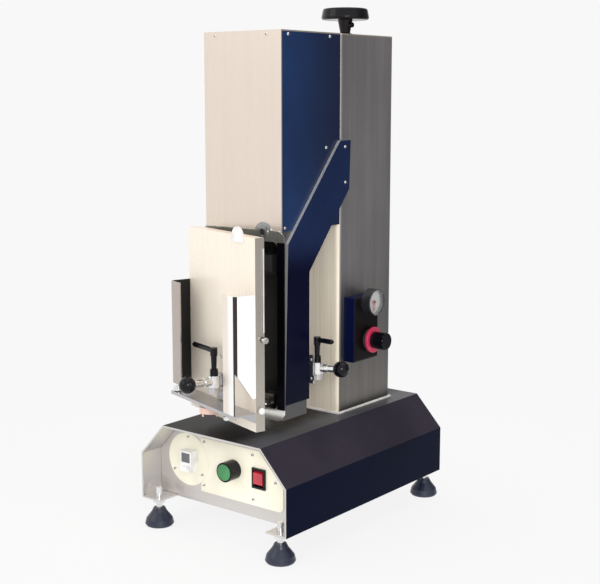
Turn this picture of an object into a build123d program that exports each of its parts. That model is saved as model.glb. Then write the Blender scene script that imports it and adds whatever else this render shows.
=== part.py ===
from build123d import *
from math import cos, radians, sin
import os

# Pneumatic bench press and sealer with a swinging pocket door.
# Origin on the floor under the base centre; X right, Y back, Z up; millimetres.

# Clearances
run_fit = 0.05
gap = 0.3
move_gap = 0.5

# Base cover, a bent sheet open at the front and back
base_half_width = 145.0
base_front = -204.0
base_back = 204.0
base_bottom = 43.0
shoulder_height = 116.0
shoulder_half_width = 97.5
base_top = 167.0
base_sheet = 2.5
bend_radius = 4.0
flange_inner = 107.0
panel_sheet = 2.0
front_panel_face = -164.0
rear_panel_face = 182.0
tray_thickness = 1.5
duct_half_width = 45.0
duct_front = 60.0
duct_back = 140.0

# Feet
foot_x = 122.6
foot_front_y = -189.4
foot_back_y = 190.2
stud_radius = 5.0
stud_bottom = 11.0
stud_top = 60.0
nut_flats = 17.0
nut_height = 7.0
pad_radius = 22.5
pad_height = 28.0

# Plates and controls on the front panel
plate_thickness = 1.0
round_plate_x = -81.5
round_plate_z = 107.5
round_plate_radius = 41.5
panel_screws = (
    (-48.1, 141.2), (-48.7, 72.3), (49.7, 139.3), (93.5, 104.9), (50.5, 70.8),
    (-81.6, 143.2), (-110.4, 87.4), (-52.4, 87.8),
)
screw_radius = 2.6
screw_height = 1.8
counter_x = (-83.9, -61.3)
counter_z = (93.2, 125.4)
counter_front = -181.0
counter_back = -130.0
window_x = (-81.4, -63.8)
window_z = (107.5, 122.5)
key_count = 3
key_width = 4.4
key_pitch = 6.0
key_z = (96.5, 101.5)
key_depth = 3.0
key_proud = 0.8
button_x = 11.8
button_z = 110.0
shroud_radius = 15.0
shroud_front = -186.5
button_radius = 12.5
button_front = -188.0
button_length = 14.0
button_neck_radius = 10.0
rocker_x = (50.0, 75.0)
rocker_z = (90.0, 121.0)
rocker_front = -168.0
rocker_back = -145.0
rocker_margin = 3.2
rocker_radius = 11.0

# Rear panel items and parts inside the base
power_inlet_x = -60.0
power_inlet_z = 95.0
air_inlet_x = 60.0
air_inlet_z = 95.0
air_thread_radius = 6.6
air_body_radius = 12.0
supply_x = (-110.0, -20.0)
supply_y = (-60.0, 70.0)
supply_top = 90.0
valve_x = (20.0, 100.0)
valve_y = (60.0, 95.0)
valve_top = 85.0

# Column
column_half_width = 73.0
column_front = 14.0
column_back = 158.0
column_top = 753.0
column_wall = 2.0
column_corner = 8.0
cap_thickness = 2.0
slot_half_width = 30.0
slot_bottom = 680.0
slot_top = 745.0
rod_radius = 8.0
rod_x = 45.0
rod_y = 86.0
cross_plate_z = (470.0, 482.0)
cross_plate_y = (56.0, 150.0)

# Head
head_half_width = 74.0
head_front_face = -126.0
head_bottom = 468.0
head_sheet = 2.0
head_screws_front = ((-51.7, 749.0), (46.9, 749.0))
head_screws_side = ((-110.0, 749.0), (-12.0, 749.0), (-20.0, 586.0), (-118.0, 473.0))

# Side brackets
bracket_thickness = 5.0
bracket_outline = (
    (-124.0, 210.0), (-117.0, 450.0), (-6.0, 579.0), (9.0, 596.0),
    (35.0, 596.0), (32.0, 522.0), (-67.0, 404.0), (-67.0, 210.0),
)
bracket_screws = ((21.0, 586.0), (22.0, 532.0))

# Chamber
chamber_back = -67.0
chamber_bottom = 186.0
chamber_wall = 3.0
chamber_floor = 6.0
frame_half_width = 80.0
frame_top = 469.0
frame_thickness = 2.0
mouth_half_width = 67.0
mouth_z = (203.5, 453.0)
frame_corner = 13.0
mouth_corner = 8.0
ram_y = -96.5
ram_hole_radius = 12.0
anvil_x = 45.0
anvil_y = (-120.0, -73.0)
anvil_plate = 12.0
anvil_pad_x = 40.0
anvil_pad_half_depth = 8.0
anvil_pad_top = 218.0
anvil_bolt_x = 30.0
anvil_bolt_y = (-112.0, -81.0)
washer_radius = 6.0
washer_height = 1.5
bolt_flats = 9.0
bolt_height = 5.0
eye_x = 40.0
eye_z = 466.0
eye_radius = 10.0
eye_hole = 5.0
eye_disc = 15.0

# Air cylinder, carriage and ram
carriage_z = (704.0, 719.0)
carriage_arm = 26.0
carriage_half_width = 62.0
carriage_y = (-121.0, 141.0)
carriage_back_start = 62.0
boss_radius = 13.0
boss_bottom = 655.0
cylinder_half = 25.0
cylinder_bottom_z = (488.0, 502.0)
cylinder_top_z = (690.0, 704.0)
cylinder_radius = 23.0
cylinder_bore = 20.0
piston_length = 10.0
ram_rod_radius = 8.0
ram_rod_bottom = 436.0
adaptor_radius = 16.0
heater_x = 42.0
heater_half_depth = 13.0
heater_z = (405.0, 430.0)
sealing_bar_half_depth = 4.0
sealing_bar_height = 6.0

# Handwheel and lead screw
screw_y = 126.0
lead_radius = 7.0
lead_bottom = 476.0
lead_collar_radius = 12.0
lead_collar = 5.0
bush_radius = 16.0
bush_depth = 8.0
neck_top = 782.0
neck_radius_low = 7.0
neck_radius_high = 12.0
wheel_radius_low = 39.0
wheel_radius_high = 35.5
wheel_top = 800.0
wheel_round = 4.0
set_screw_radius = 4.0
set_screw_reach = 15.0
set_screw_z = 774.0

# Door: lies in its own frame, local x along its width, local y towards its back
hinge_x = -84.9
hinge_y = -139.1
hinge_inset = 6.0
hinge_back = 8.0
door_angle = 17.0
door_width = 188.0
door_z = (188.0, 467.0)
door_sheet = 2.0
door_depth = 15.0
hinge_heights = (235.0, 420.0)
hinge_half = 18.0
knuckle_radius = 4.0
pin_radius = 2.5
leaf_thickness = 2.7

# Pocket in front of the door
guide_thickness = 2.0
guide_depth = 35.0
guide_width = 32.0
guide_bend = 9.0
guide_cut = ((1, 215), (-33, 215), (-33, 277), (-6, 238), (1, 238))
guide_top = 387.0
left_guide_bottom = 230.0
right_guide_bottom = 216.0
shelf_z = (214.0, 216.0)
shelf_lip = 211.0
shelf_flange = 202.0
ring_s = 92.0
ring_y = -20.0
ring_radius = 15.5
ring_bore = 9.0
ring_z = (200.0, 209.0)
ring_floor = 3.0
ring_pin_radius = 1.5
ring_pin_circle = 12.0
ring_pin_bottom = 195.0
ring_stem_radius = 4.0

# Door latch
latch_s = 145.0
latch_radius = 14.0
latch_top = 480.0
latch_bottom = 458.0
latch_thickness = 3.0
latch_pin_z = 461.4
latch_pin_radius = 2.0
latch_head_radius = 3.0
latch_head = 1.2

# Clamp arms
left_pivot_s = 96.0
left_pivot_y = -14.5
left_rod_z = 247.0
right_pivot_x = 83.0
right_pivot_y = -53.0
right_rod_z = 256.0
right_arm_angle = 20.0
arm_length = 45.0
right_arm_length = 38.0
arm_hub_radius = 9.0
arm_hub_half = 9.0
arm_rod_radius = 5.6
arm_collar_radius = 6.8
arm_collar = 17.0
ball_radius = 12.5
ball_seat = 8.0
post_radius = 4.0
knuckle_height = 8.0
lever_hub_radius = 6.0
lever_hub_height = 9.0
lever_cap = 2.0
left_lever_height = 46.0
right_lever_height = 43.0
lever_stem_radius = 3.8
lever_boss_radius = 5.4
lever_boss = 12.0
lever_boss_rise = 0.8
lever_neck_radius = 4.8
lever_radius = 3.8
lever_tip = 3.0
lever_tip_radius = 2.2
left_lever_reach = 57.0
right_lever_reach = 27.0
clamp_flange_thickness = 4.0
clamp_flange_half = 12.0
clamp_neck_half = 5.0
clamp_flange_height = 44.0
clamp_screw_pitch = 29.0

# Regulator and gauge
box_x = (73.0, 94.0)
box_y = (28.5, 92.5)
box_z = (250.0, 352.0)
box_corner = 3.0
regulator_y = 68.0
regulator_z = 282.0
regulator_radius = 17.0
regulator_face = 100.0
regulator_stem = 4.0
regulator_stem_end = 122.0
ring_outer = 20.5
lock_ring_end = 104.0
lock_ring_bore = 10.0
knob_radius = 13.5
knob_end = 128.0
knob_flutes = 12
flute_radius = 1.2
gauge_y = 66.0
gauge_z = 343.0
gauge_radius = 21.0
gauge_end = 110.0
gauge_bezel = 1.6
gauge_dial = 101.0
needle_pin_radius = 1.2
needle_pin_end = 106.0
needle_hub_radius = 3.0
needle_x = (103.0, 104.5)
needle_length = 14.0
needle_width = 1.4

WORLD = Plane.XY
door_direction = (cos(radians(door_angle)), -sin(radians(door_angle)), 0)
door_origin = (
    hinge_x - hinge_inset * cos(radians(door_angle)) - hinge_back * sin(radians(door_angle)),
    hinge_y + hinge_inset * sin(radians(door_angle)) - hinge_back * cos(radians(door_angle)),
    0,
)
DOOR = Plane(origin=door_origin, x_dir=door_direction, z_dir=(0, 0, 1))


def slab(x, y, z, frame=WORLD, mode=Mode.ADD):
    """Add or cut a box spanning three (low, high) pairs of a frame."""
    middle = ((x[0] + x[1]) / 2, (y[0] + y[1]) / 2, (z[0] + z[1]) / 2)
    with Locations(frame):
        with Locations(middle):
            Box(x[1] - x[0], y[1] - y[0], z[1] - z[0], mode=mode)


def bar(start, end, radius, frame=WORLD, mode=Mode.ADD, tip=None):
    """Add or cut a round bar, or a cone if tip is given, between two points of a frame."""
    path = Vector(*end) - Vector(*start)
    low = (Align.CENTER, Align.CENTER, Align.MIN)
    with Locations(frame):
        with Locations(Plane(origin=start, z_dir=path)):
            if tip is None:
                Cylinder(radius, path.length, align=low, mode=mode)
            else:
                Cone(radius, tip, path.length, align=low, mode=mode)


def prism(points, plane, depth, corner=0, mode=Mode.ADD):
    """Add or cut an extruded polygon, its corners rounded when a radius is given."""
    with BuildSketch(plane) as outline:
        Polygon(*points, align=None)
        if corner:
            fillet(outline.vertices(), corner)
    extrude(outline.sketch, amount=depth, mode=mode)


def hexagon(centre, height, flats, direction=(0, 0, 1)):
    """Add a hexagonal nut or bolt head standing on a point."""
    with BuildSketch(Plane(origin=centre, z_dir=direction)) as outline:
        RegularPolygon(flats / 2, 6, major_radius=False)
    extrude(outline.sketch, amount=height)


def screw_head(point, direction):
    """Add a pan head screw standing on a face."""
    end = Vector(*point) + Vector(*direction) * screw_height
    bar(point, tuple(end), screw_radius, tip=screw_radius * 0.7)


def rectangle(x, z):
    """Return the corners of a rectangle."""
    return ((x[0], z[0]), (x[1], z[0]), (x[1], z[1]), (x[0], z[1]))


def grown(pair, amount):
    """Return a (low, high) pair widened by an amount at each end."""
    return (pair[0] - amount, pair[1] + amount)


def facing_front(y):
    """Return the plane at a depth that faces the front, with x to the right and z up."""
    return Plane.XZ.offset(-y)


def facing_right(x):
    """Return the plane at a side position that faces right, with y and z in it."""
    return Plane.YZ.offset(x)


def door_side(s):
    """Return the door's plane at a distance along its width, with its y and z in it."""
    return Plane(DOOR.location * Plane.YZ.offset(s).location)


def cover_section(inset, y):
    """Return the base's five-sided outline, rounded at the bends and moved inwards."""
    with BuildSketch(facing_front(y)) as section:
        Polygon(
            (-base_half_width, base_bottom),
            (base_half_width, base_bottom),
            (base_half_width, shoulder_height),
            (shoulder_half_width, base_top),
            (-shoulder_half_width, base_top),
            (-base_half_width, shoulder_height),
            align=None,
        )
        bends = section.vertices().filter_by_position(Axis.Z, base_bottom + 1, base_top + 1)
        fillet(bends, bend_radius)
        if inset:
            offset(amount=-inset, kind=Kind.INTERSECTION, mode=Mode.REPLACE)
    return section.sketch


foot_places = {
    "foot_front_left": (-foot_x, foot_front_y),
    "foot_front_right": (foot_x, foot_front_y),
    "foot_back_left": (-foot_x, foot_back_y),
    "foot_back_right": (foot_x, foot_back_y),
}

os.makedirs("parts", exist_ok=True)

# Base
base_depth = base_back - base_front
with BuildPart() as base_cover:
    extrude(cover_section(0, base_back), amount=base_depth)
    extrude(cover_section(base_sheet, base_back), amount=base_depth, mode=Mode.SUBTRACT)
    flange_top = base_bottom + base_sheet
    slab((-flange_inner, flange_inner), (base_front, base_back), (base_bottom, flange_top), mode=Mode.SUBTRACT)
    duct = (-duct_half_width, duct_half_width)
    slab(duct, (duct_front, duct_back), (base_top - 2 * base_sheet, base_top), mode=Mode.SUBTRACT)
    for foot in foot_places.values():
        bar((*foot, base_bottom), (*foot, flange_top), stud_radius + gap, mode=Mode.SUBTRACT)
base_cover.part.label = "base_cover"
export_step(base_cover.part, "parts/base_cover.step")

panel_inset = base_sheet + gap
counter_hole_x = grown(counter_x, -3)
counter_hole_z = grown(counter_z, -3)
rocker_hole_x = grown(rocker_x, -2)
rocker_hole_z = grown(rocker_z, -2)
panel_cut = panel_sheet + plate_thickness
with BuildPart() as front_panel:
    extrude(cover_section(panel_inset, front_panel_face + panel_sheet), amount=panel_sheet)
    foot_strip = rectangle((-flange_inner + gap, flange_inner - gap), (base_bottom, base_bottom + 10))
    prism(foot_strip, facing_front(front_panel_face + panel_sheet), panel_sheet)
    slab(counter_hole_x, (front_panel_face - 1, front_panel_face + 3), counter_hole_z, mode=Mode.SUBTRACT)
    slab(rocker_hole_x, (front_panel_face - 1, front_panel_face + 3), rocker_hole_z, mode=Mode.SUBTRACT)
    bar(
        (button_x, front_panel_face - 1, button_z),
        (button_x, front_panel_face + 3, button_z),
        button_neck_radius + gap,
        mode=Mode.SUBTRACT,
    )
front_panel.part.label = "front_panel"
export_step(front_panel.part, "parts/front_panel.step")

with BuildPart() as rear_panel:
    extrude(cover_section(panel_inset, rear_panel_face), amount=panel_sheet)
    rear_cut = (rear_panel_face - 3, rear_panel_face + 1)
    inlet_hole_x = (power_inlet_x - 13, power_inlet_x + 13)
    slab(inlet_hole_x, rear_cut, (power_inlet_z - 10, power_inlet_z + 10), mode=Mode.SUBTRACT)
    bar(
        (air_inlet_x, rear_cut[0], air_inlet_z),
        (air_inlet_x, rear_cut[1], air_inlet_z),
        air_body_radius + gap,
        mode=Mode.SUBTRACT,
    )
rear_panel.part.label = "rear_panel"
export_step(rear_panel.part, "parts/rear_panel.step")

tray_half = base_half_width - base_sheet - gap
tray_top = flange_top + tray_thickness
tray_y = (front_panel_face + panel_sheet + gap, rear_panel_face - panel_sheet - gap)
with BuildPart() as floor_tray:
    slab((-tray_half, tray_half), tray_y, (flange_top, tray_top))
    for foot in foot_places.values():
        bar((*foot, flange_top), (*foot, tray_top), stud_radius + gap, mode=Mode.SUBTRACT)
floor_tray.part.label = "floor_tray"
export_step(floor_tray.part, "parts/floor_tray.step")

with BuildPart() as foot_studs:
    for foot in foot_places.values():
        bar((*foot, stud_bottom), (*foot, stud_top), stud_radius)
        hexagon((*foot, base_bottom - nut_height), nut_height, nut_flats)
foot_studs.part.label = "foot_studs"
export_step(foot_studs.part, "parts/foot_studs.step")

for node, foot in foot_places.items():
    with BuildPart() as foot_pad:
        with BuildSketch(Plane(origin=(*foot, 0), x_dir=(1, 0, 0), z_dir=(0, -1, 0))) as bell:
            Polygon(
                (0, 0), (pad_radius - 2, 0), (pad_radius, 3), (pad_radius - 2, 11),
                (12, 22), (9, pad_height), (0, pad_height),
                align=None,
            )
        revolve(axis=Axis((*foot, 0), (0, 0, 1)))
        bore_top = (*foot, pad_height)
        bar((*foot, stud_bottom - gap), bore_top, stud_radius + run_fit, mode=Mode.SUBTRACT)
    foot_pad.part.label = node
    export_step(foot_pad.part, "parts/" + node + ".step")

# Plates and controls on the front panel
with BuildPart() as label_plates:
    plane = facing_front(front_panel_face)
    prism(((-55, 62), (103, 62), (108, 67), (108, 100), (62, 147), (-55, 147)), plane, plate_thickness)
    plate_centre = (round_plate_x, front_panel_face, round_plate_z)
    plate_end = (round_plate_x, front_panel_face - plate_thickness, round_plate_z)
    bar(plate_centre, plate_end, round_plate_radius + gap, mode=Mode.SUBTRACT)
    bar(plate_centre, plate_end, round_plate_radius)
    plate_cut = (front_panel_face - 2, front_panel_face)
    slab(counter_hole_x, plate_cut, counter_hole_z, mode=Mode.SUBTRACT)
    slab(rocker_hole_x, plate_cut, rocker_hole_z, mode=Mode.SUBTRACT)
    bar(
        (button_x, plate_cut[0], button_z),
        (button_x, plate_cut[1], button_z),
        button_neck_radius + gap,
        mode=Mode.SUBTRACT,
    )
label_plates.part.label = "label_plates"
export_step(label_plates.part, "parts/label_plates.step")

plate_face = front_panel_face - plate_thickness
key_middle = (counter_x[0] + counter_x[1]) / 2
key_places = [key_middle + (i - (key_count - 1) / 2) * key_pitch for i in range(key_count)]
with BuildPart() as counter_body:
    slab(counter_x, (counter_front, plate_face), counter_z)
    slab(grown(counter_hole_x, -gap), (plate_face, counter_back), grown(counter_hole_z, -gap))
    slab(window_x, (counter_front, counter_front + 2), window_z, mode=Mode.SUBTRACT)
    key_row = (key_places[0] - key_width / 2, key_places[-1] + key_width / 2)
    pocket = (counter_front, counter_front + key_depth + 2)
    slab(grown(key_row, gap), pocket, grown(key_z, gap), mode=Mode.SUBTRACT)
counter_body.part.label = "counter_body"
export_step(counter_body.part, "parts/counter_body.step")

with BuildPart() as counter_window:
    slab(grown(window_x, -gap), (counter_front + 0.4, counter_front + 2), grown(window_z, -gap))
counter_window.part.label = "counter_window"
export_step(counter_window.part, "parts/counter_window.step")

with BuildPart() as counter_keys:
    for x in key_places:
        key_x = (x - key_width / 2, x + key_width / 2)
        slab(key_x, (counter_front - key_proud, counter_front + key_depth), key_z)
    slab(key_row, (counter_front + 1, counter_front + key_depth), key_z)
counter_keys.part.label = "counter_keys"
export_step(counter_keys.part, "parts/counter_keys.step")

with BuildPart() as button_shroud:
    bar((button_x, plate_face, button_z), (button_x, shroud_front, button_z), shroud_radius)
    shroud_back = (button_x, front_panel_face + 20, button_z)
    bar((button_x, plate_face, button_z), shroud_back, button_neck_radius)
    well_end = (button_x, button_front + button_length + 4, button_z)
    bar((button_x, shroud_front, button_z), well_end, button_radius + run_fit, mode=Mode.SUBTRACT)
button_shroud.part.label = "button_shroud"
export_step(button_shroud.part, "parts/button_shroud.step")

with BuildPart() as button_cap:
    cap_back = (button_x, button_front + button_length, button_z)
    bar((button_x, button_front, button_z), cap_back, button_radius)
    fillet(button_cap.faces().sort_by(Axis.Y)[0].edges(), 1)
button_cap.part.label = "button_cap"
export_step(button_cap.part, "parts/button_cap.step")

rocker_mid_x = (rocker_x[0] + rocker_x[1]) / 2
rocker_mid_z = (rocker_z[0] + rocker_z[1]) / 2
rocker_axis_y = rocker_front + 6
rocker_open_x = grown(rocker_x, -rocker_margin)
rocker_open_z = grown(rocker_z, -rocker_margin)
with BuildPart() as rocker_bezel:
    slab(rocker_x, (rocker_front, plate_face), rocker_z)
    slab(grown(rocker_hole_x, -gap), (plate_face, rocker_back), grown(rocker_hole_z, -gap))
    slab(rocker_open_x, (rocker_front, rocker_back - 3), rocker_open_z, mode=Mode.SUBTRACT)
rocker_bezel.part.label = "rocker_bezel"
export_step(rocker_bezel.part, "parts/rocker_bezel.step")

rocker_key_x = grown(rocker_open_x, -move_gap)
with BuildPart() as rocker_key:
    key_start = (rocker_key_x[0], rocker_axis_y, rocker_mid_z)
    key_end = (rocker_key_x[1], rocker_axis_y, rocker_mid_z)
    bar(key_start, key_end, rocker_radius)
    above = (rocker_front - 10, rocker_front - 1.0)
    slab(rocker_key_x, above, (rocker_mid_z - 20, rocker_mid_z + 20), mode=Mode.SUBTRACT)
rocker_key.part.label = "rocker_key"
export_step(rocker_key.part, "parts/rocker_key.step")

# Rear panel and inside of the base
with BuildPart() as power_inlet:
    back_face = rear_panel_face
    flange_x = (power_inlet_x - 24, power_inlet_x + 24)
    slab(flange_x, (back_face, back_face + 3), (power_inlet_z - 14, power_inlet_z + 14))
    body_x = grown(inlet_hole_x, -gap)
    body_z = (power_inlet_z - 10 + gap, power_inlet_z + 10 - gap)
    slab(body_x, (back_face - 20, back_face), body_z)
    socket_x = grown(body_x, -2)
    socket_z = grown(body_z, -2)
    slab(socket_x, (back_face - 14, back_face + 3), socket_z, mode=Mode.SUBTRACT)
    for x in (power_inlet_x - 6, power_inlet_x, power_inlet_x + 6):
        slab((x - 1, x + 1), (back_face - 15, back_face - 2), (power_inlet_z - 2.5, power_inlet_z + 2.5))
power_inlet.part.label = "power_inlet"
export_step(power_inlet.part, "parts/power_inlet.step")

air_back = rear_panel_face + 12
with BuildPart() as air_inlet:
    hexagon((air_inlet_x, rear_panel_face, air_inlet_z), air_back - rear_panel_face, 30, (0, 1, 0))
    air_start = (air_inlet_x, rear_panel_face - 18, air_inlet_z)
    bar(air_start, (air_inlet_x, rear_panel_face, air_inlet_z), air_body_radius)
    bore_start = (air_inlet_x, rear_panel_face - 6, air_inlet_z)
    bar(bore_start, (air_inlet_x, air_back, air_inlet_z), air_thread_radius, mode=Mode.SUBTRACT)
air_inlet.part.label = "air_inlet"
export_step(air_inlet.part, "parts/air_inlet.step")

with BuildPart() as power_supply:
    slab(supply_x, supply_y, (tray_top, supply_top))
power_supply.part.label = "power_supply"
export_step(power_supply.part, "parts/power_supply.step")

with BuildPart() as solenoid_valve:
    slab(valve_x, valve_y, (tray_top, valve_top))
    coil_x = (valve_x[0] + 8, valve_x[0] + 34)
    slab(coil_x, grown(valve_y, -4), (valve_top, valve_top + 25))
solenoid_valve.part.label = "solenoid_valve"
export_step(solenoid_valve.part, "parts/solenoid_valve.step")

# Column
column_x = (-column_half_width, column_half_width)
column_y = (column_front, column_back)
inner_x = grown(column_x, -column_wall)
inner_y = grown(column_y, -column_wall)
with BuildPart() as column_shell:
    slab(column_x, column_y, (base_top, column_top))
    fillet(column_shell.edges().filter_by(Axis.Z), column_corner)
    inner_corner = column_corner - column_wall
    bore_height = column_top - base_top
    column_bore = rectangle(inner_x, inner_y)
    prism(column_bore, Plane.XY.offset(base_top), bore_height, inner_corner, mode=Mode.SUBTRACT)
    slot = (-slot_half_width, slot_half_width)
    slab(slot, (column_front, column_front + column_wall), (slot_bottom, slot_top), mode=Mode.SUBTRACT)
column_shell.part.label = "column_shell"
export_step(column_shell.part, "parts/column_shell.step")

cap_top = column_top + cap_thickness
with BuildPart() as top_caps:
    slab(column_x, column_y, (column_top, cap_top))
    fillet(top_caps.edges().filter_by(Axis.Z), column_corner)
    bar((0, screw_y, column_top - bush_depth), (0, screw_y, column_top), bush_radius)
    bush_start = (0, screw_y, column_top - bush_depth)
    bar(bush_start, (0, screw_y, cap_top), lead_radius + run_fit, mode=Mode.SUBTRACT)
    slab((-head_half_width, head_half_width), (head_front_face, column_front - gap), (column_top, cap_top))
top_caps.part.label = "top_caps"
export_step(top_caps.part, "parts/top_caps.step")

with BuildPart() as column_rods:
    slab(grown(inner_x, -gap), cross_plate_y, cross_plate_z)
    for x in (-rod_x, rod_x):
        bar((x, rod_y, cross_plate_z[0]), (x, rod_y, column_top - gap), rod_radius)
    step_start = (0, screw_y, lead_bottom - gap)
    bar(step_start, (0, screw_y, cross_plate_z[1]), lead_radius + run_fit, mode=Mode.SUBTRACT)
column_rods.part.label = "column_rods"
export_step(column_rods.part, "parts/column_rods.step")

# Head
sheet_back = head_front_face + head_sheet
with BuildPart() as head_front:
    front_x = (-head_half_width, head_half_width)
    slab(front_x, (head_front_face, sheet_back), (head_bottom, column_top))
head_front.part.label = "head_front"
export_step(head_front.part, "parts/head_front.step")

with BuildPart() as head_sides:
    slab((-head_half_width, head_half_width), (sheet_back, column_front), (head_bottom, column_top))
    hollow_x = (-head_half_width + head_sheet, head_half_width - head_sheet)
    hollow_z = (head_bottom + head_sheet, column_top)
    slab(hollow_x, (sheet_back, column_front), hollow_z, mode=Mode.SUBTRACT)
    hole_start = (0, ram_y, head_bottom)
    bar(hole_start, (0, ram_y, hollow_z[0]), ram_hole_radius, mode=Mode.SUBTRACT)
head_sides.part.label = "head_sides"
export_step(head_sides.part, "parts/head_sides.step")

# Brackets
with BuildPart() as right_bracket:
    prism(bracket_outline, facing_right(head_half_width), bracket_thickness)
right_bracket.part.label = "right_bracket"
export_step(right_bracket.part, "parts/right_bracket.step")

with BuildPart() as left_bracket:
    prism(bracket_outline, facing_right(-head_half_width - bracket_thickness), bracket_thickness)
left_bracket.part.label = "left_bracket"
export_step(left_bracket.part, "parts/left_bracket.step")

bracket_face = head_half_width + bracket_thickness
with BuildPart() as cover_screws:
    for x, z in panel_screws:
        screw_head((x, plate_face, z), (0, -1, 0))
    for x, z in head_screws_front:
        screw_head((x, head_front_face, z), (0, -1, 0))
    for side in (-1, 1):
        for y, z in head_screws_side:
            screw_head((side * head_half_width, y, z), (side, 0, 0))
        for y, z in bracket_screws:
            screw_head((side * bracket_face, y, z), (side, 0, 0))
cover_screws.part.label = "cover_screws"
export_step(cover_screws.part, "parts/cover_screws.step")

# Chamber
with BuildPart() as chamber_box:
    chamber_x = (-head_half_width, head_half_width)
    chamber_y = (head_front_face, chamber_back)
    slab(chamber_x, chamber_y, (chamber_bottom, head_bottom))
    cavity_x = grown(chamber_x, -chamber_wall)
    cavity_y = (head_front_face, chamber_back - chamber_wall)
    cavity_z = (chamber_bottom + chamber_floor, head_bottom - chamber_wall)
    slab(cavity_x, cavity_y, cavity_z, mode=Mode.SUBTRACT)
    roof = (0, ram_y, cavity_z[1])
    bar(roof, (0, ram_y, head_bottom), ram_hole_radius, mode=Mode.SUBTRACT)
chamber_box.part.label = "chamber_box"
export_step(chamber_box.part, "parts/chamber_box.step")

mouth_x = (-mouth_half_width, mouth_half_width)
frame_x = (-frame_half_width, frame_half_width)
with BuildPart() as chamber_frame:
    plane = facing_front(head_front_face)
    prism(rectangle(frame_x, (chamber_bottom, frame_top)), plane, frame_thickness, frame_corner)
    prism(rectangle(mouth_x, mouth_z), plane, frame_thickness, mouth_corner, mode=Mode.SUBTRACT)
chamber_frame.part.label = "chamber_frame"
export_step(chamber_frame.part, "parts/chamber_frame.step")

frame_face = head_front_face - frame_thickness
with BuildPart() as latch_eye:
    bar((eye_x, frame_face, eye_z), (eye_x, head_front_face, eye_z), eye_disc)
    slab((eye_x - 20, eye_x + 20), (frame_face, head_front_face), (eye_z - 20, frame_top + gap), mode=Mode.SUBTRACT)
    bar((eye_x, frame_face, eye_z), (eye_x, frame_face - 1.6, eye_z), eye_radius)
    bar((eye_x, head_front_face, eye_z), (eye_x, frame_face - 2, eye_z), eye_hole, mode=Mode.SUBTRACT)
latch_eye.part.label = "latch_eye"
export_step(latch_eye.part, "parts/latch_eye.step")

anvil_base = chamber_bottom + chamber_floor
anvil_top = anvil_base + anvil_plate
with BuildPart() as anvil:
    slab((-anvil_x, anvil_x), anvil_y, (anvil_base, anvil_top))
    pad_y = (ram_y - anvil_pad_half_depth, ram_y + anvil_pad_half_depth)
    slab((-anvil_pad_x, anvil_pad_x), pad_y, (anvil_top, anvil_pad_top))
    for x in (-anvil_bolt_x, anvil_bolt_x):
        for y in anvil_bolt_y:
            bar((x, y, anvil_top), (x, y, anvil_top + washer_height), washer_radius)
            hexagon((x, y, anvil_top + washer_height), bolt_height, bolt_flats)
anvil.part.label = "anvil"
export_step(anvil.part, "parts/anvil.step")

# Carriage, air cylinder and ram
with BuildPart() as carriage:
    slab((-carriage_arm, carriage_arm), (carriage_y[0], carriage_back_start), carriage_z)
    slab((-carriage_half_width, carriage_half_width), (carriage_back_start, carriage_y[1]), carriage_z)
    for x in (-rod_x, rod_x):
        bar((x, rod_y, boss_bottom), (x, rod_y, carriage_z[0]), boss_radius)
    bar((0, screw_y, boss_bottom), (0, screw_y, carriage_z[0]), boss_radius)
    for x in (-rod_x, rod_x):
        bore = (x, rod_y, boss_bottom)
        bar(bore, (x, rod_y, carriage_z[1]), rod_radius + run_fit, mode=Mode.SUBTRACT)
    bore = (0, screw_y, boss_bottom)
    bar(bore, (0, screw_y, carriage_z[1]), lead_radius + run_fit, mode=Mode.SUBTRACT)
carriage.part.label = "carriage"
export_step(carriage.part, "parts/carriage.step")

block_x = (-cylinder_half, cylinder_half)
block_y = (ram_y - cylinder_half, ram_y + cylinder_half)
with BuildPart() as air_cylinder:
    slab(block_x, block_y, cylinder_bottom_z)
    slab(block_x, block_y, cylinder_top_z)
    bar((0, ram_y, cylinder_bottom_z[1]), (0, ram_y, cylinder_top_z[0]), cylinder_radius)
    tube_start = (0, ram_y, cylinder_bottom_z[1])
    bar(tube_start, (0, ram_y, cylinder_top_z[0]), cylinder_bore, mode=Mode.SUBTRACT)
    gland = (0, ram_y, cylinder_bottom_z[0])
    bar(gland, tube_start, ram_rod_radius + run_fit, mode=Mode.SUBTRACT)
air_cylinder.part.label = "air_cylinder"
export_step(air_cylinder.part, "parts/air_cylinder.step")

piston_top = cylinder_top_z[0] - 1
piston_bottom = piston_top - piston_length
with BuildPart() as piston_rod:
    bar((0, ram_y, ram_rod_bottom), (0, ram_y, piston_bottom), ram_rod_radius)
    bar((0, ram_y, piston_bottom), (0, ram_y, piston_top), cylinder_bore - run_fit)
    bar((0, ram_y, heater_z[1]), (0, ram_y, ram_rod_bottom), adaptor_radius)
piston_rod.part.label = "piston_rod"
export_step(piston_rod.part, "parts/piston_rod.step")

with BuildPart() as heater_block:
    block_depth = (ram_y - heater_half_depth, ram_y + heater_half_depth)
    slab((-heater_x, heater_x), block_depth, heater_z)
    bar_y = (ram_y - sealing_bar_half_depth, ram_y + sealing_bar_half_depth)
    slab((-heater_x, heater_x), bar_y, (heater_z[0] - sealing_bar_height, heater_z[0]))
heater_block.part.label = "heater_block"
export_step(heater_block.part, "parts/heater_block.step")

# Handwheel and lead screw
collar_bottom = cap_top + gap
screw_end = collar_bottom + lead_collar
with BuildPart() as lead_screw:
    bar((0, screw_y, lead_bottom), (0, screw_y, screw_end), lead_radius)
    under_bush = column_top - bush_depth - gap
    bar((0, screw_y, under_bush - 2), (0, screw_y, under_bush), lead_collar_radius - 2)
lead_screw.part.label = "lead_screw"
export_step(lead_screw.part, "parts/lead_screw.step")

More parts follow.
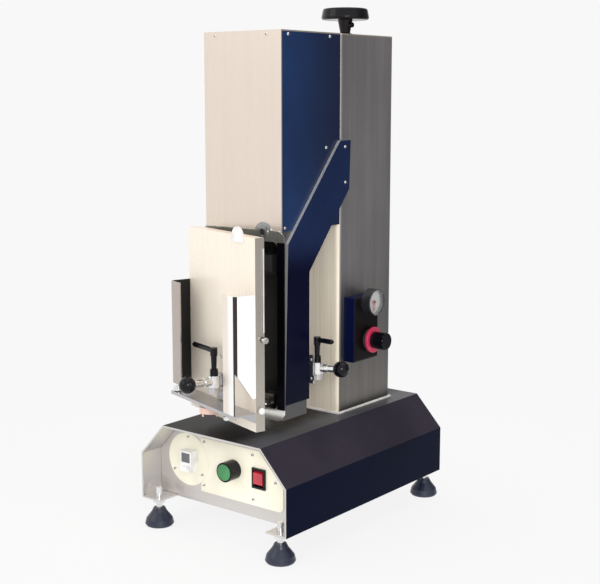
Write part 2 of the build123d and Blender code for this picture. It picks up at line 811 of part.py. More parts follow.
with BuildPart() as handwheel:
    with BuildSketch(Plane(origin=(0, screw_y, 0), x_dir=(1, 0, 0), z_dir=(0, -1, 0))) as wheel:
        Polygon(
            (0, collar_bottom), (lead_collar_radius, collar_bottom), (lead_collar_radius, screw_end),
            (neck_radius_low + 1, screw_end + 2), (neck_radius_high, neck_top),
            (wheel_radius_low, neck_top), (wheel_radius_high, wheel_top), (0, wheel_top),
            align=None,
        )
        rim = wheel.vertices().filter_by_position(Axis.X, wheel_radius_high - 1, wheel_radius_low + 1)
        fillet(rim, wheel_round)
    revolve(axis=Axis((0, screw_y, 0), (0, 0, 1)))
    bar((0, screw_y, set_screw_z), (set_screw_reach, screw_y, set_screw_z), set_screw_radius)
    socket_end = (0, screw_y, screw_end + gap)
    bar((0, screw_y, collar_bottom), socket_end, lead_radius + gap, mode=Mode.SUBTRACT)
handwheel.part.label = "handwheel"
export_step(handwheel.part, "parts/handwheel.step")

# Door
left_edge = (0, door_sheet)
with BuildPart() as door_panel:
    slab((0, door_width), (0, door_depth), door_z, DOOR)
    hollow_s = (door_sheet, door_width - door_sheet)
    slab(hollow_s, (door_sheet, door_depth), grown(door_z, -door_sheet), DOOR, Mode.SUBTRACT)
    for z in hinge_heights:
        notch_z = (z - hinge_half - 2, z + hinge_half + 2)
        slab(left_edge, (door_sheet, door_depth), notch_z, DOOR, Mode.SUBTRACT)
    pin_start = (latch_s, 0, latch_pin_z)
    bar(pin_start, (latch_s, door_sheet, latch_pin_z), latch_pin_radius + run_fit, DOOR, Mode.SUBTRACT)
door_panel.part.label = "door_panel"
export_step(door_panel.part, "parts/door_panel.step")

with BuildPart() as hinge_door:
    for z in hinge_heights:
        half = (z + gap, z + hinge_half)
        slab((hinge_inset - 3, 30), (door_sheet, 2 * door_sheet), half, DOOR)
        slab((hinge_inset - 3, hinge_inset + 3), (door_sheet, hinge_back), half, DOOR)
        low = (hinge_inset, hinge_back, half[0])
        high = (hinge_inset, hinge_back, half[1])
        bar(low, high, knuckle_radius, DOOR)
        bar(low, high, pin_radius + run_fit, DOOR, Mode.SUBTRACT)
hinge_door.part.label = "hinge_door"
export_step(hinge_door.part, "parts/hinge_door.step")

leaf_x = (-bracket_face - leaf_thickness - 1.3, -frame_half_width - gap)
with BuildPart() as hinge_fixed:
    for z in hinge_heights:
        leaf_z = (z - hinge_half, z)
        slab(leaf_x, (hinge_y, -95), leaf_z)
        slab((leaf_x[0], -bracket_face), (-117.5, -95), (z - hinge_half, z + hinge_half))
        low = (hinge_x, hinge_y, z - hinge_half)
        bar(low, (hinge_x, hinge_y, z), knuckle_radius)
        bar(low, (hinge_x, hinge_y, z + hinge_half), pin_radius)
hinge_fixed.part.label = "hinge_fixed"
export_step(hinge_fixed.part, "parts/hinge_fixed.step")

# Pocket on the door
lip_y = (-guide_depth, -guide_depth + guide_thickness)


def guide(edge, side, bottom):
    """Add a guide bent to an L, standing at one edge of the door from a height upwards."""
    far = edge + side * guide_width
    near = edge + side * guide_thickness
    front = (edge, -guide_depth)
    inside = (near, lip_y[1])
    with BuildSketch(Plane(DOOR.location * Plane.XY.offset(bottom).location)) as outline:
        Polygon((edge, 0), front, (far, front[1]), (far, inside[1]), inside, (near, 0), align=None)
        fillet(outline.vertices().sort_by_distance(front)[0], guide_bend)
        fillet(outline.vertices().sort_by_distance(inside)[0], guide_bend - guide_thickness)
    extrude(outline.sketch, amount=guide_top - bottom)


with BuildPart() as pocket_guides:
    guide(0, 1, left_guide_bottom)
    guide(door_width, -1, right_guide_bottom)
    prism(guide_cut, door_side(door_width - guide_bend - 1), guide_bend + 2, mode=Mode.SUBTRACT)
pocket_guides.part.label = "pocket_guides"
export_step(pocket_guides.part, "parts/pocket_guides.step")

with BuildPart() as pocket_shelf:
    slab((0, door_width), (-guide_depth, 0), shelf_z, DOOR)
    slab((0, door_width), lip_y, (shelf_lip, shelf_z[0]), DOOR)
    slab((0, door_width), (-guide_thickness, 0), (shelf_flange, shelf_z[0]), DOOR)
pocket_shelf.part.label = "pocket_shelf"
export_step(pocket_shelf.part, "parts/pocket_shelf.step")

with BuildPart() as pin_ring:
    ring_low = (ring_s, ring_y, ring_z[0])
    ring_high = (ring_s, ring_y, ring_z[1])
    bar(ring_low, ring_high, ring_radius, DOOR)
    bar(ring_low, (ring_s, ring_y, ring_z[1] - ring_floor), ring_bore, DOOR, Mode.SUBTRACT)
    bar(ring_high, (ring_s, ring_y, shelf_z[0]), ring_stem_radius, DOOR)
    for angle in (90, 210, 330):
        pin_s = ring_s + ring_pin_circle * cos(radians(angle))
        pin_y = ring_y - ring_pin_circle * sin(radians(angle))
        bar((pin_s, pin_y, ring_pin_bottom), (pin_s, pin_y, ring_z[0]), ring_pin_radius, DOOR)
pin_ring.part.label = "pin_ring"
export_step(pin_ring.part, "parts/pin_ring.step")

with BuildPart() as door_latch:
    front = (latch_s, -gap - latch_thickness, latch_top - latch_radius)
    back = (latch_s, -gap, latch_top - latch_radius)
    bar(front, back, latch_radius, DOOR)
    below = (latch_top - 3 * latch_radius, latch_bottom)
    slab((latch_s - 30, latch_s + 30), (-gap - latch_thickness, -gap), below, DOOR, Mode.SUBTRACT)
    pin_back = (latch_s, door_sheet + gap, latch_pin_z)
    bar((latch_s, -gap, latch_pin_z), pin_back, latch_pin_radius, DOOR)
    head_end = (latch_s, door_sheet + gap + latch_head, latch_pin_z)
    bar(pin_back, head_end, latch_head_radius, DOOR)
door_latch.part.label = "door_latch"
export_step(door_latch.part, "parts/door_latch.step")


def clamp_post(s, y, rod_z, frame):
    """Add the knuckle under a clamp arm and the post that its hub and lever turn on."""
    seat_z = rod_z - arm_hub_half - gap
    bar((s, y, seat_z - knuckle_height), (s, y, seat_z), arm_hub_radius, frame)
    post_end = rod_z + arm_hub_half + gap + lever_hub_height - lever_cap
    bar((s, y, seat_z), (s, y, post_end), post_radius, frame)
    return seat_z


def clamp_arm(s, y, rod_z, reach, angle, frame):
    """Add an arm's hub and rod, the rod turned by an angle from straight ahead."""
    end_s = s + (reach - ball_radius + ball_seat - gap) * sin(radians(angle))
    end_y = y - (reach - ball_radius + ball_seat - gap) * cos(radians(angle))
    bar((s, y, rod_z), (end_s, end_y, rod_z), arm_rod_radius, frame)
    collar_s = s + arm_collar * sin(radians(angle))
    collar_y = y - arm_collar * cos(radians(angle))
    bar((s, y, rod_z), (collar_s, collar_y, rod_z), arm_collar_radius, frame)
    hub_low = (s, y, rod_z - arm_hub_half)
    hub_high = (s, y, rod_z + arm_hub_half)
    bar(hub_low, hub_high, arm_hub_radius, frame)
    bar(hub_low, hub_high, post_radius + run_fit, frame, Mode.SUBTRACT)


def clamp_ball(s, y, rod_z, reach, angle, frame):
    """Add the ball on an arm's end, with a blind hole for the rod."""
    ahead = (sin(radians(angle)), -cos(radians(angle)))
    with Locations(frame):
        with Locations((s + reach * ahead[0], y + reach * ahead[1], rod_z)):
            Sphere(ball_radius)
    start = reach - 2 * ball_radius
    stop = reach - ball_radius + ball_seat
    hole_start = (s + start * ahead[0], y + start * ahead[1], rod_z)
    hole_stop = (s + stop * ahead[0], y + stop * ahead[1], rod_z)
    bar(hole_start, hole_stop, arm_rod_radius + gap, frame, Mode.SUBTRACT)


def ratchet_lever(s, y, rod_z, height, reach, side, frame):
    """Add a ratchet lever: a cap over the post, an upright stem and a handle to one side."""
    low = rod_z + arm_hub_half + gap
    top = rod_z + height
    bar((s, y, low), (s, y, low + lever_hub_height), lever_hub_radius, frame)
    stem_low = (s, y, low + lever_hub_height)
    bar(stem_low, (s, y, top), lever_stem_radius, frame, tip=lever_neck_radius)
    boss_top = top + lever_radius + lever_boss_rise
    bar((s, y, boss_top - lever_boss), (s, y, boss_top), lever_boss_radius, frame)
    bar((s, y, top), (s + side * reach, y, top), lever_radius, frame)
    tip_end = (s + side * (reach + lever_tip), y, top)
    bar((s + side * reach, y, top), tip_end, lever_radius, frame, tip=lever_tip_radius)
    post_end = low + lever_hub_height - lever_cap + gap
    bar((s, y, low), (s, y, post_end), post_radius + run_fit, frame, Mode.SUBTRACT)


# Left clamp, on the door
with BuildPart() as left_clamp_block:
    seat_z = clamp_post(left_pivot_s, left_pivot_y, left_rod_z, DOOR)
    block_z = (seat_z - knuckle_height, seat_z)
    slab((left_pivot_s - 6, left_pivot_s + 6), (left_pivot_y, 0), block_z, DOOR)
    foot_z = (shelf_z[1] + 2, left_rod_z + 10)
    slab((left_pivot_s - 12, left_pivot_s + 12), (-3, 0), foot_z, DOOR)
left_clamp_block.part.label = "left_clamp_block"
export_step(left_clamp_block.part, "parts/left_clamp_block.step")

with BuildPart() as left_arm:
    clamp_arm(left_pivot_s, left_pivot_y, left_rod_z, arm_length, 0, DOOR)
left_arm.part.label = "left_arm"
export_step(left_arm.part, "parts/left_arm.step")

with BuildPart() as left_ball:
    clamp_ball(left_pivot_s, left_pivot_y, left_rod_z, arm_length, 0, DOOR)
left_ball.part.label = "left_ball"
export_step(left_ball.part, "parts/left_ball.step")

with BuildPart() as left_lever:
    ratchet_lever(left_pivot_s, left_pivot_y, left_rod_z, left_lever_height, left_lever_reach, -1, DOOR)
left_lever.part.label = "left_lever"
export_step(left_lever.part, "parts/left_lever.step")

# Right clamp, on the right bracket
right_angle = 90 + right_arm_angle
with BuildPart() as right_clamp_base:
    seat_z = clamp_post(right_pivot_x, right_pivot_y, right_rod_z, WORLD)
    flange_x = (right_pivot_x - 2 * clamp_flange_half + 5, right_pivot_x + 3)
    flange_y = (chamber_back, chamber_back + clamp_flange_thickness)
    flange_z = (right_rod_z - clamp_flange_height / 2, right_rod_z + clamp_flange_height / 2)
    slab(flange_x, flange_y, flange_z)
    neck_x = grown((right_pivot_x, right_pivot_x), clamp_neck_half)
    slab(neck_x, (chamber_back, right_pivot_y), (seat_z - knuckle_height, seat_z))
    for side in (-1, 1):
        screw_z = right_rod_z + side * clamp_screw_pitch / 2
        screw_head((bracket_face + screw_radius + gap, chamber_back, screw_z), (0, -1, 0))
right_clamp_base.part.label = "right_clamp_base"
export_step(right_clamp_base.part, "parts/right_clamp_base.step")

with BuildPart() as right_arm:
    clamp_arm(right_pivot_x, right_pivot_y, right_rod_z, right_arm_length, right_angle, WORLD)
right_arm.part.label = "right_arm"
export_step(right_arm.part, "parts/right_arm.step")

with BuildPart() as right_ball:
    clamp_ball(right_pivot_x, right_pivot_y, right_rod_z, right_arm_length, right_angle, WORLD)
right_ball.part.label = "right_ball"
export_step(right_ball.part, "parts/right_ball.step")

with BuildPart() as right_lever:
    height = right_lever_height
    ratchet_lever(right_pivot_x, right_pivot_y, right_rod_z, height, right_lever_reach, 1, WORLD)
right_lever.part.label = "right_lever"
export_step(right_lever.part, "parts/right_lever.step")

# Regulator and gauge on the column's right side
with BuildPart() as regulator_box:
    slab(box_x, box_y, box_z)
    fillet(regulator_box.faces().sort_by(Axis.X)[-1].edges(), box_corner)
regulator_box.part.label = "regulator_box"
export_step(regulator_box.part, "parts/regulator_box.step")

with BuildPart() as regulator_body:
    bar((box_x[1], regulator_y, regulator_z), (regulator_face, regulator_y, regulator_z), regulator_radius)
    stem_start = (regulator_face, regulator_y, regulator_z)
    bar(stem_start, (regulator_stem_end, regulator_y, regulator_z), regulator_stem)
regulator_body.part.label = "regulator_body"
export_step(regulator_body.part, "parts/regulator_body.step")

with BuildPart() as lock_ring:
    ring_start = (regulator_face, regulator_y, regulator_z)
    ring_end = (lock_ring_end, regulator_y, regulator_z)
    bar(ring_start, ring_end, ring_outer)
    fillet(lock_ring.faces().sort_by(Axis.X)[-1].edges(), 1)
    bar(ring_start, ring_end, lock_ring_bore, mode=Mode.SUBTRACT)
lock_ring.part.label = "lock_ring"
export_step(lock_ring.part, "parts/lock_ring.step")

knob_start = (lock_ring_end + gap, regulator_y, regulator_z)
knob_stop = (knob_end, regulator_y, regulator_z)
with BuildPart() as regulator_knob:
    bar(knob_start, knob_stop, knob_radius)
    fillet(regulator_knob.faces().sort_by(Axis.X)[-1].edges(), 2)
    for i in range(knob_flutes):
        turn = radians(360 / knob_flutes * i)
        y = regulator_y + knob_radius * cos(turn)
        z = regulator_z + knob_radius * sin(turn)
        bar((knob_start[0] + 8, y, z), (knob_end, y, z), flute_radius, mode=Mode.SUBTRACT)
    bore_end = (regulator_stem_end + gap, regulator_y, regulator_z)
    bar(knob_start, bore_end, regulator_stem + run_fit, mode=Mode.SUBTRACT)
regulator_knob.part.label = "regulator_knob"
export_step(regulator_knob.part, "parts/regulator_knob.step")

with BuildPart() as gauge_case:
    bar((box_x[1], gauge_y, gauge_z), (gauge_end, gauge_y, gauge_z), gauge_radius)
    fillet(gauge_case.faces().sort_by(Axis.X)[-1].edges(), 1)
    dial = (gauge_dial, gauge_y, gauge_z)
    dial_radius = gauge_radius - gauge_bezel
    bar(dial, (gauge_end, gauge_y, gauge_z), dial_radius, mode=Mode.SUBTRACT)
    bar(dial, (needle_pin_end, gauge_y, gauge_z), needle_pin_radius)
gauge_case.part.label = "gauge_case"
export_step(gauge_case.part, "parts/gauge_case.step")

with BuildPart() as gauge_needle:
    hub_low = (needle_x[0], gauge_y, gauge_z)
    hub_high = (needle_x[1], gauge_y, gauge_z)
    bar(hub_low, hub_high, needle_hub_radius)
    needle_z = (gauge_z - needle_length, gauge_z + 2)
    slab(needle_x, (gauge_y - needle_width / 2, gauge_y + needle_width / 2), needle_z)
    bar(hub_low, hub_high, needle_pin_radius + run_fit, mode=Mode.SUBTRACT)
gauge_needle.part.label = "gauge_needle"
export_step(gauge_needle.part, "parts/gauge_needle.step")
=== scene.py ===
"""Studio picture of a pneumatic bench press and sealer: finishes, fittings, light, camera."""

import logging
import math
from dataclasses import dataclass
from enum import Enum
from typing import Callable, Optional, Sequence

import bmesh
import bpy
from mathutils import Matrix, Vector


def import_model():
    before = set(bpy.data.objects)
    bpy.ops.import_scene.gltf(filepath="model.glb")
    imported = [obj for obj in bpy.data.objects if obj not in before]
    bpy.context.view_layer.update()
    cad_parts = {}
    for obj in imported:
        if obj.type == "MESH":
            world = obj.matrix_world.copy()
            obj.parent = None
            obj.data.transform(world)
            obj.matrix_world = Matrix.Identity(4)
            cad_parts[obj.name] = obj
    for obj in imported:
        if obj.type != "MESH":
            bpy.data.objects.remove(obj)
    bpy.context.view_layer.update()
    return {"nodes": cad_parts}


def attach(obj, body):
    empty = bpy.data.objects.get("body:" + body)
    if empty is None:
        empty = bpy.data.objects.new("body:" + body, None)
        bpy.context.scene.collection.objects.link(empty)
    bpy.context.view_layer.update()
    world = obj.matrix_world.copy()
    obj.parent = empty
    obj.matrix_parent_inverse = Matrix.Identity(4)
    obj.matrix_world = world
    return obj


log = logging.getLogger("scene")
Colour = tuple[float, float, float]
Point = tuple[float, float, float]
Profile = tuple[tuple[float, float], ...]
MM = 0.001
WHITE = (1.0, 1.0, 1.0)
NO_COLOUR = (0.0, 0.0, 0.0)

# The door stands ajar: its hinge pin in the plan view, in millimetres, and its turn in degrees.
HINGE_X = -92.977
HINGE_Y = -144.996
DOOR_TURN = -17.0
DOOR_COS = math.cos(math.radians(DOOR_TURN))
DOOR_SIN = -math.sin(math.radians(DOOR_TURN))

# Facts of the finishes that many of them share.
BRUSH_SCALE = 900.0
BROAD_RATIO = 14.0
RELIEF_DEPTH = 0.0002
SHARP_ANGLE = 35.0


class Body(str, Enum):
    """The moving bodies that small fittings ride on."""

    STAND = "stand"
    DOOR = "door"


class Axis(Enum):
    """An object axis, as a unit vector."""

    X = (1.0, 0.0, 0.0)
    Y = (0.0, 1.0, 0.0)
    Z = (0.0, 0.0, 1.0)


# ---------------------------------------------------------------- shader maths


class Sock:
    """A shader output socket that can be used in ordinary arithmetic."""

    def __init__(self, shader: "Shader", socket: bpy.types.NodeSocket) -> None:
        self.shader = shader
        self.socket = socket

    def _math(self, operation: str, *others: "Sock | float") -> "Sock":
        """Returns a Math node's result for this socket and the others."""
        node = self.shader.tree.nodes.new("ShaderNodeMath")
        node.operation = operation
        for slot, value in zip(node.inputs, (self, *others)):
            self.shader.feed(slot, value)
        return Sock(self.shader, node.outputs[0])

    def __add__(self, other: "Sock | float") -> "Sock":
        return self._math("ADD", other)

    def __sub__(self, other: "Sock | float") -> "Sock":
        return self._math("SUBTRACT", other)

    def __rsub__(self, other: float) -> "Sock":
        return self._math("MULTIPLY", -1.0)._math("ADD", other)

    def __mul__(self, other: "Sock | float") -> "Sock":
        return self._math("MULTIPLY", other)

    __radd__ = __add__
    __rmul__ = __mul__

    def __gt__(self, other: "Sock | float") -> "Sock":
        return self._math("GREATER_THAN", other)

    def __lt__(self, other: "Sock | float") -> "Sock":
        return self._math("LESS_THAN", other)

    def __abs__(self) -> "Sock":
        return self._math("ABSOLUTE")

    def power(self, other: float) -> "Sock":
        """Returns this value raised to a power."""
        return self._math("POWER", other)

    def ramp(
        self, low: float, high: float, out_low: float = 0.0, out_high: float = 1.0
    ) -> "Sock":
        """Returns this value mapped smoothly from one range to another, and clamped.

        Args:
            low: The value that gives out_low.
            high: The value that gives out_high.
            out_low: The lower result.
            out_high: The upper result.

        Returns:
            The mapped value.
        """
        node = self.shader.node("ShaderNodeMapRange", interpolation_type="SMOOTHSTEP")
        for name, value in zip(
            ("Value", "From Min", "From Max", "To Min", "To Max"),
            (self, low, high, out_low, out_high),
        ):
            self.shader.feed(node.inputs[name], value)
        return Sock(self.shader, node.outputs[0])


class Shader:
    """A material's node tree with one Principled BSDF, and short ways of making nodes."""

    def __init__(self, name: str) -> None:
        self.material = bpy.data.materials.new(name)
        self.material.use_nodes = True
        self.tree = self.material.node_tree
        self.tree.nodes.clear()
        self.bsdf = self.node("ShaderNodeBsdfPrincipled")
        output = self.node("ShaderNodeOutputMaterial")
        self.tree.links.new(self.bsdf.outputs[0], output.inputs[0])
        coordinates = self.node("ShaderNodeTexCoord")
        self.place = Sock(self, coordinates.outputs["Object"])
        self.normal = Sock(self, coordinates.outputs["Normal"])
        split = self.node("ShaderNodeSeparateXYZ", Vector=self.place)
        self.x, self.y, self.z = (Sock(self, out) for out in split.outputs)
        facing = self.node("ShaderNodeSeparateXYZ", Vector=self.normal)
        self.nx, self.ny, self.nz = (Sock(self, out) for out in facing.outputs)

    def node(self, kind: str, **settings: object) -> bpy.types.Node:
        """Makes a node, setting attributes by name and inputs by socket name.

        Args:
            kind: The node's type.
            settings: Attribute values, and input values or sockets.

        Returns:
            The node.
        """
        node = self.tree.nodes.new(kind)
        for name, value in settings.items():
            key = name.replace("_", " ") if name.replace("_", " ") in node.inputs else name
            if key in node.inputs:
                self.feed(node.inputs[key], value)
            else:
                setattr(node, name, value)
        return node

    def feed(self, slot: bpy.types.NodeSocket, value: "Sock | float | tuple") -> None:
        """Links a socket or sets a value."""
        if isinstance(value, Sock):
            self.tree.links.new(value.socket, slot)
        else:
            slot.default_value = value

    def noise(self, scale: Sequence[float], detail: float = 3.0, rough: float = 0.55) -> Sock:
        """Returns a noise value in object space, stretched by three scales."""
        mapping = self.node("ShaderNodeMapping", Vector=self.place)
        mapping.inputs["Scale"].default_value = tuple(scale)
        node = self.node("ShaderNodeTexNoise", Vector=Sock(self, mapping.outputs[0]))
        node.inputs["Scale"].default_value = 1.0
        node.inputs["Detail"].default_value = detail
        node.inputs["Roughness"].default_value = rough
        return Sock(self, node.outputs[0])

    def blend(self, factor: Sock, low: "Sock | Colour", high: "Sock | Colour") -> Sock:
        """Returns a colour mixed from two colours by a factor."""
        node = self.node("ShaderNodeMix", data_type="RGBA")
        self.feed(node.inputs[0], factor)
        for slot, value in ((node.inputs[6], low), (node.inputs[7], high)):
            self.feed(slot, value if isinstance(value, Sock) else (*value, 1.0))
        return Sock(self, node.outputs[2])

    def scaled(self, colour: "Sock | Colour", factor: Sock) -> Sock:
        """Returns a colour multiplied by a value."""
        node = self.node("ShaderNodeVectorMath", operation="SCALE")
        self.feed(node.inputs[0], colour)
        self.feed(node.inputs["Scale"], factor)
        return Sock(self, node.outputs[0])

    def across_door(self) -> Sock:
        """Returns how far the surface faces the door's free edge."""
        return self.nx * DOOR_COS - self.ny * DOOR_SIN

    def along_door(self) -> Sock:
        """Returns the place along the door's width, in metres."""
        return (self.x - HINGE_X * MM) * DOOR_COS - (self.y - HINGE_Y * MM) * DOOR_SIN

    def bump(self, height: Sock, strength: float, distance: float) -> None:
        """Gives the surface relief from a height value."""
        node = self.node("ShaderNodeBump", Height=height)
        node.inputs["Strength"].default_value = strength
        node.inputs["Distance"].default_value = distance
        self.tree.links.new(node.outputs[0], self.bsdf.inputs["Normal"])

    def surface(self, **values: "Sock | float | Colour") -> None:
        """Sets the Principled BSDF's inputs by name."""
        for name, value in values.items():
            slot = self.bsdf.inputs[name.replace("_", " ")]
            if isinstance(value, tuple) and len(value) == 3 and slot.type == "RGBA":
                value = (*value, 1.0)
            self.feed(slot, value)


# ---------------------------------------------------------------- finishes


@dataclass(frozen=True)
class Finish:
    """A surface finish; a subclass paints it.

    Attributes:
        name: The material's name.
        colour: The main colour.
        layers: Pairs of what picks out a part of the surface, and that part's colour.
    """

    name: str
    colour: Colour
    layers: tuple[tuple[Callable[[Shader], Sock], Colour], ...] = ()

    def body(self, shader: Shader) -> "Sock | Colour":
        """Returns the colour with its layers laid over one another."""
        colour: "Sock | Colour" = self.colour
        for pick, over in self.layers:
            colour = shader.blend(pick(shader), colour, over)
        return colour

    def paint(self, shader: Shader) -> None:
        """Builds the finish in a shader."""
        raise NotImplementedError

    def material(self) -> bpy.types.Material:
        """Returns the finish as a material, made once, under a name that no slot has."""
        label = "look_" + self.name
        found = bpy.data.materials.get(label)
        if found:
            return found
        shader = Shader(label)
        self.paint(shader)
        return shader.material


def tinted(colour: Colour, gain: float) -> Colour:
    """Returns a colour made lighter or darker."""
    return tuple(min(1.0, c * gain) for c in colour)


@dataclass(frozen=True)
class Brushed(Finish):
    """Brushed or satin metal sheet, with its grain along one axis.

    Attributes:
        grain: The axis that the brush lines run along.
        rough: The mean roughness.
        metallic: How metallic the surface is.
        contrast: How much lighter and darker the streaks are.
        streak: The streaks' length against their width.
        relief: The depth of the brush lines.
        painted: What picks out a part that is lit like paint, not like bare metal, if any.
    """

    grain: Axis = Axis.Z
    rough: float = 0.34
    metallic: float = 0.9
    contrast: float = 0.10
    streak: float = 60.0
    relief: float = 0.12
    painted: Optional[Callable[[Shader], Sock]] = None

    def paint(self, shader: Shader) -> None:
        along_grain = BRUSH_SCALE / self.streak
        fine = [BRUSH_SCALE * (1.0 - a) + along_grain * a for a in self.grain.value]
        lines = shader.noise(fine, 4.0, 0.65)
        broad = shader.noise([f / BROAD_RATIO for f in fine], 3.0)
        cloud = shader.noise((9.0, 9.0, 6.0), 2.0)
        wear = shader.noise((70.0, 70.0, 70.0), 5.0, 0.7).ramp(0.62, 0.78)
        tone = lines * 0.45 + broad * 0.35 + cloud * 0.2
        gain = tone.ramp(0.3, 0.7, 1.0 - self.contrast, 1.0 + self.contrast) - wear * 0.06
        colour = shader.scaled(self.body(shader), gain)
        rough = (lines - 0.5) * 0.16 + (cloud - 0.5) * 0.14 + self.rough
        shader.surface(Base_Color=colour, Metallic=self.metallic, Roughness=rough)
        if self.painted:
            bare = self.painted(shader) * -0.9 + 1.0
            shader.surface(Metallic=bare * self.metallic)
        shader.bump(lines, self.relief, RELIEF_DEPTH)


@dataclass(frozen=True)
class Gloss(Finish):
    """Glossy stoved paint with faint orange peel, dust and, if asked, bare sheet edges.

    Attributes:
        rough: The mean roughness.
        coat: The clear coat's weight.
        bare: What picks out the unpainted places of a node, if any.
        bare_colour: The colour of the bare metal.
        shine: How strongly the paint itself reflects.
    """

    rough: float = 0.22
    coat: float = 0.6
    bare: Optional[Callable[[Shader], Sock]] = None
    bare_colour: Colour = (0.72, 0.70, 0.69)
    shine: float = 0.5

    def paint(self, shader: Shader) -> None:
        cloud = shader.noise((7.0, 7.0, 7.0), 3.0)
        dust = shader.noise((260.0, 260.0, 260.0), 4.0, 0.7).ramp(0.66, 0.80)
        peel = shader.noise((420.0, 420.0, 420.0), 2.0)
        colour = shader.scaled(self.body(shader), cloud.ramp(0.3, 0.7, 0.85, 1.15))
        colour = shader.blend(dust * 0.05, colour, (0.30, 0.30, 0.34))
        rough = (cloud - 0.5) * 0.12 + dust * 0.15 + self.rough
        shader.surface(
            Coat_Roughness=0.08, Coat_Weight=self.coat, Specular_IOR_Level=self.shine
        )
        if self.bare:
            bare = self.bare(shader)
            lines = shader.noise((700.0, 14.0, 700.0), 4.0)
            steel = shader.blend(lines, tinted(self.bare_colour, 0.86), self.bare_colour)
            colour = shader.blend(bare, colour, steel)
            rough = rough + bare * 0.12
            shader.surface(Metallic=bare * 0.85)
            shader.surface(Coat_Weight=(1.0 - bare) * self.coat)
        shader.surface(Base_Color=colour, Roughness=rough)
        shader.bump(peel, 0.05, RELIEF_DEPTH)


@dataclass(frozen=True)
class Moulded(Finish):
    """Moulded plastic or rubber with a fine grain and slight wear.

    Attributes:
        rough: The mean roughness.
        grain: The strength of the surface's fine grain.
        coat: The clear coat's weight, for shiny mouldings.
        shine: How strongly the surface itself reflects.
    """

    rough: float = 0.4
    grain: float = 0.08
    coat: float = 0.0
    shine: float = 0.5

    def paint(self, shader: Shader) -> None:
        cloud = shader.noise((40.0, 40.0, 40.0), 3.0)
        grain = shader.noise((1500.0, 1500.0, 1500.0), 3.0, 0.6)
        scuff = shader.noise((180.0, 180.0, 60.0), 5.0, 0.7).ramp(0.64, 0.8)
        low, high = tinted(self.colour, 0.82), tinted(self.colour, 1.15)
        colour = shader.blend(cloud.ramp(0.3, 0.7), low, high)
        colour = shader.blend(scuff * 0.15, colour, (0.5, 0.5, 0.5))
        rough = (cloud - 0.5) * 0.15 + scuff * 0.12 + self.rough
        shader.surface(Base_Color=colour, Roughness=rough)
        shader.surface(Coat_Weight=self.coat, Specular_IOR_Level=self.shine)
        shader.bump(grain, self.grain, RELIEF_DEPTH)


@dataclass(frozen=True)
class Turned(Finish):
    """Turned, ground or plated metal with fine rings of tool marks.

    Attributes:
        rough: The mean roughness.
        contrast: How strongly the tool marks and stains show.
    """

    rough: float = 0.2
    contrast: float = 0.12

    def paint(self, shader: Shader) -> None:
        rings = shader.noise((160.0, 160.0, 2600.0), 3.0)
        stain = shader.noise((30.0, 30.0, 30.0), 4.0, 0.6)
        tone = rings * 0.4 + stain * 0.6
        low = tinted(self.colour, 1.0 - self.contrast)
        high = tinted(self.colour, 1.0 + self.contrast)
        colour = shader.blend(tone.ramp(0.35, 0.65), low, high)
        rough = (rings - 0.5) * 0.12 + (stain - 0.5) * 0.12 + self.rough
        shader.surface(Base_Color=colour, Metallic=1.0, Roughness=rough)
        shader.bump(rings, 0.06, 0.0001)


@dataclass(frozen=True)
class Clear(Finish):
    """Thin clear glass."""

    def paint(self, shader: Shader) -> None:
        smear = shader.noise((60.0, 60.0, 60.0), 4.0)
        colour = shader.blend(smear, tinted(self.colour, 0.96), self.colour)
        shader.surface(Base_Color=colour, Roughness=smear.ramp(0.3, 0.7, 0.02, 0.10))
        shader.surface(Transmission_Weight=0.95, IOR=1.45)
        shader.surface(Alpha=smear.ramp(0.3, 0.7, 0.28, 0.36))


# Places where the colour of one node changes, in metres; most of them bound painted shade,
# painted highlights and painted reflections. Heights and depths are the machine's, and the
# guides' places are counted along the door from its hinge.
BASE_MIDDLE_Z = 0.1
HEAD_SHADE_Y = (-0.12, 0.02)
BRACKET_SHADE_Z = (0.46, 0.40)
COLUMN_SHADE_Z = (0.46, 0.22)
TOP_SHADE_X = (0.03, 0.08)
UPRIGHT_X = 0.0665
UPRIGHT_FOOT_Z = 0.2035
HEAD_RAIL_Z = 0.4525
LEFT_GUIDE_END = 0.09
LEFT_LEG_END = 0.006
GUIDE_SHINE = (0.166, 0.176)
RIGHT_LEG_START = 0.17


def cover_bare(shader: Shader) -> Sock:
    """Picks out the base cover's inside faces and cut edges."""
    outward = shader.nx * shader.x + shader.nz * (shader.z - BASE_MIDDLE_Z)
    return ((outward < 0.0) + (abs(shader.ny) > 0.9)).ramp(0.0, 1.0)


def edge_bare(shader: Shader) -> Sock:
    """Picks out the cut edges of an upright side plate."""
    return abs(shader.nx) < 0.5


def head_rear_shade(shader: Shader) -> Sock:
    """Picks out the rear of the head's sides, painted darker than the front as shade beside the
    column.
    """
    return shader.y.ramp(*HEAD_SHADE_Y)


def bracket_low_shade(shader: Shader) -> Sock:
    """Picks out the brackets' lower legs, painted darker as shade."""
    return shader.z.ramp(*BRACKET_SHADE_Z)


def side_face_shade(shader: Shader) -> Sock:
    """Picks out the faces to the right, which are painted near black as shade."""
    return shader.nx > 0.6


def front_painted_light(shader: Shader) -> Sock:
    """Picks out the faces to the front, painted light cream and made less metallic so that they
    look lit.
    """
    return shader.ny < -0.55


def low_down_shade(shader: Shader) -> Sock:
    """Picks out the lower part of an upright sheet, painted darker as shade."""
    return shader.z.ramp(*COLUMN_SHADE_Z)


def uprights_painted_reflection(shader: Shader) -> Sock:
    """Picks out the chamber frame's two uprights, painted near black as a dark reflection."""
    return (abs(shader.x) > UPRIGHT_X) * (shader.z > UPRIGHT_FOOT_Z)


def frame_head(shader: Shader) -> Sock:
    """Picks out the chamber frame's top rail."""
    return shader.z > HEAD_RAIL_Z


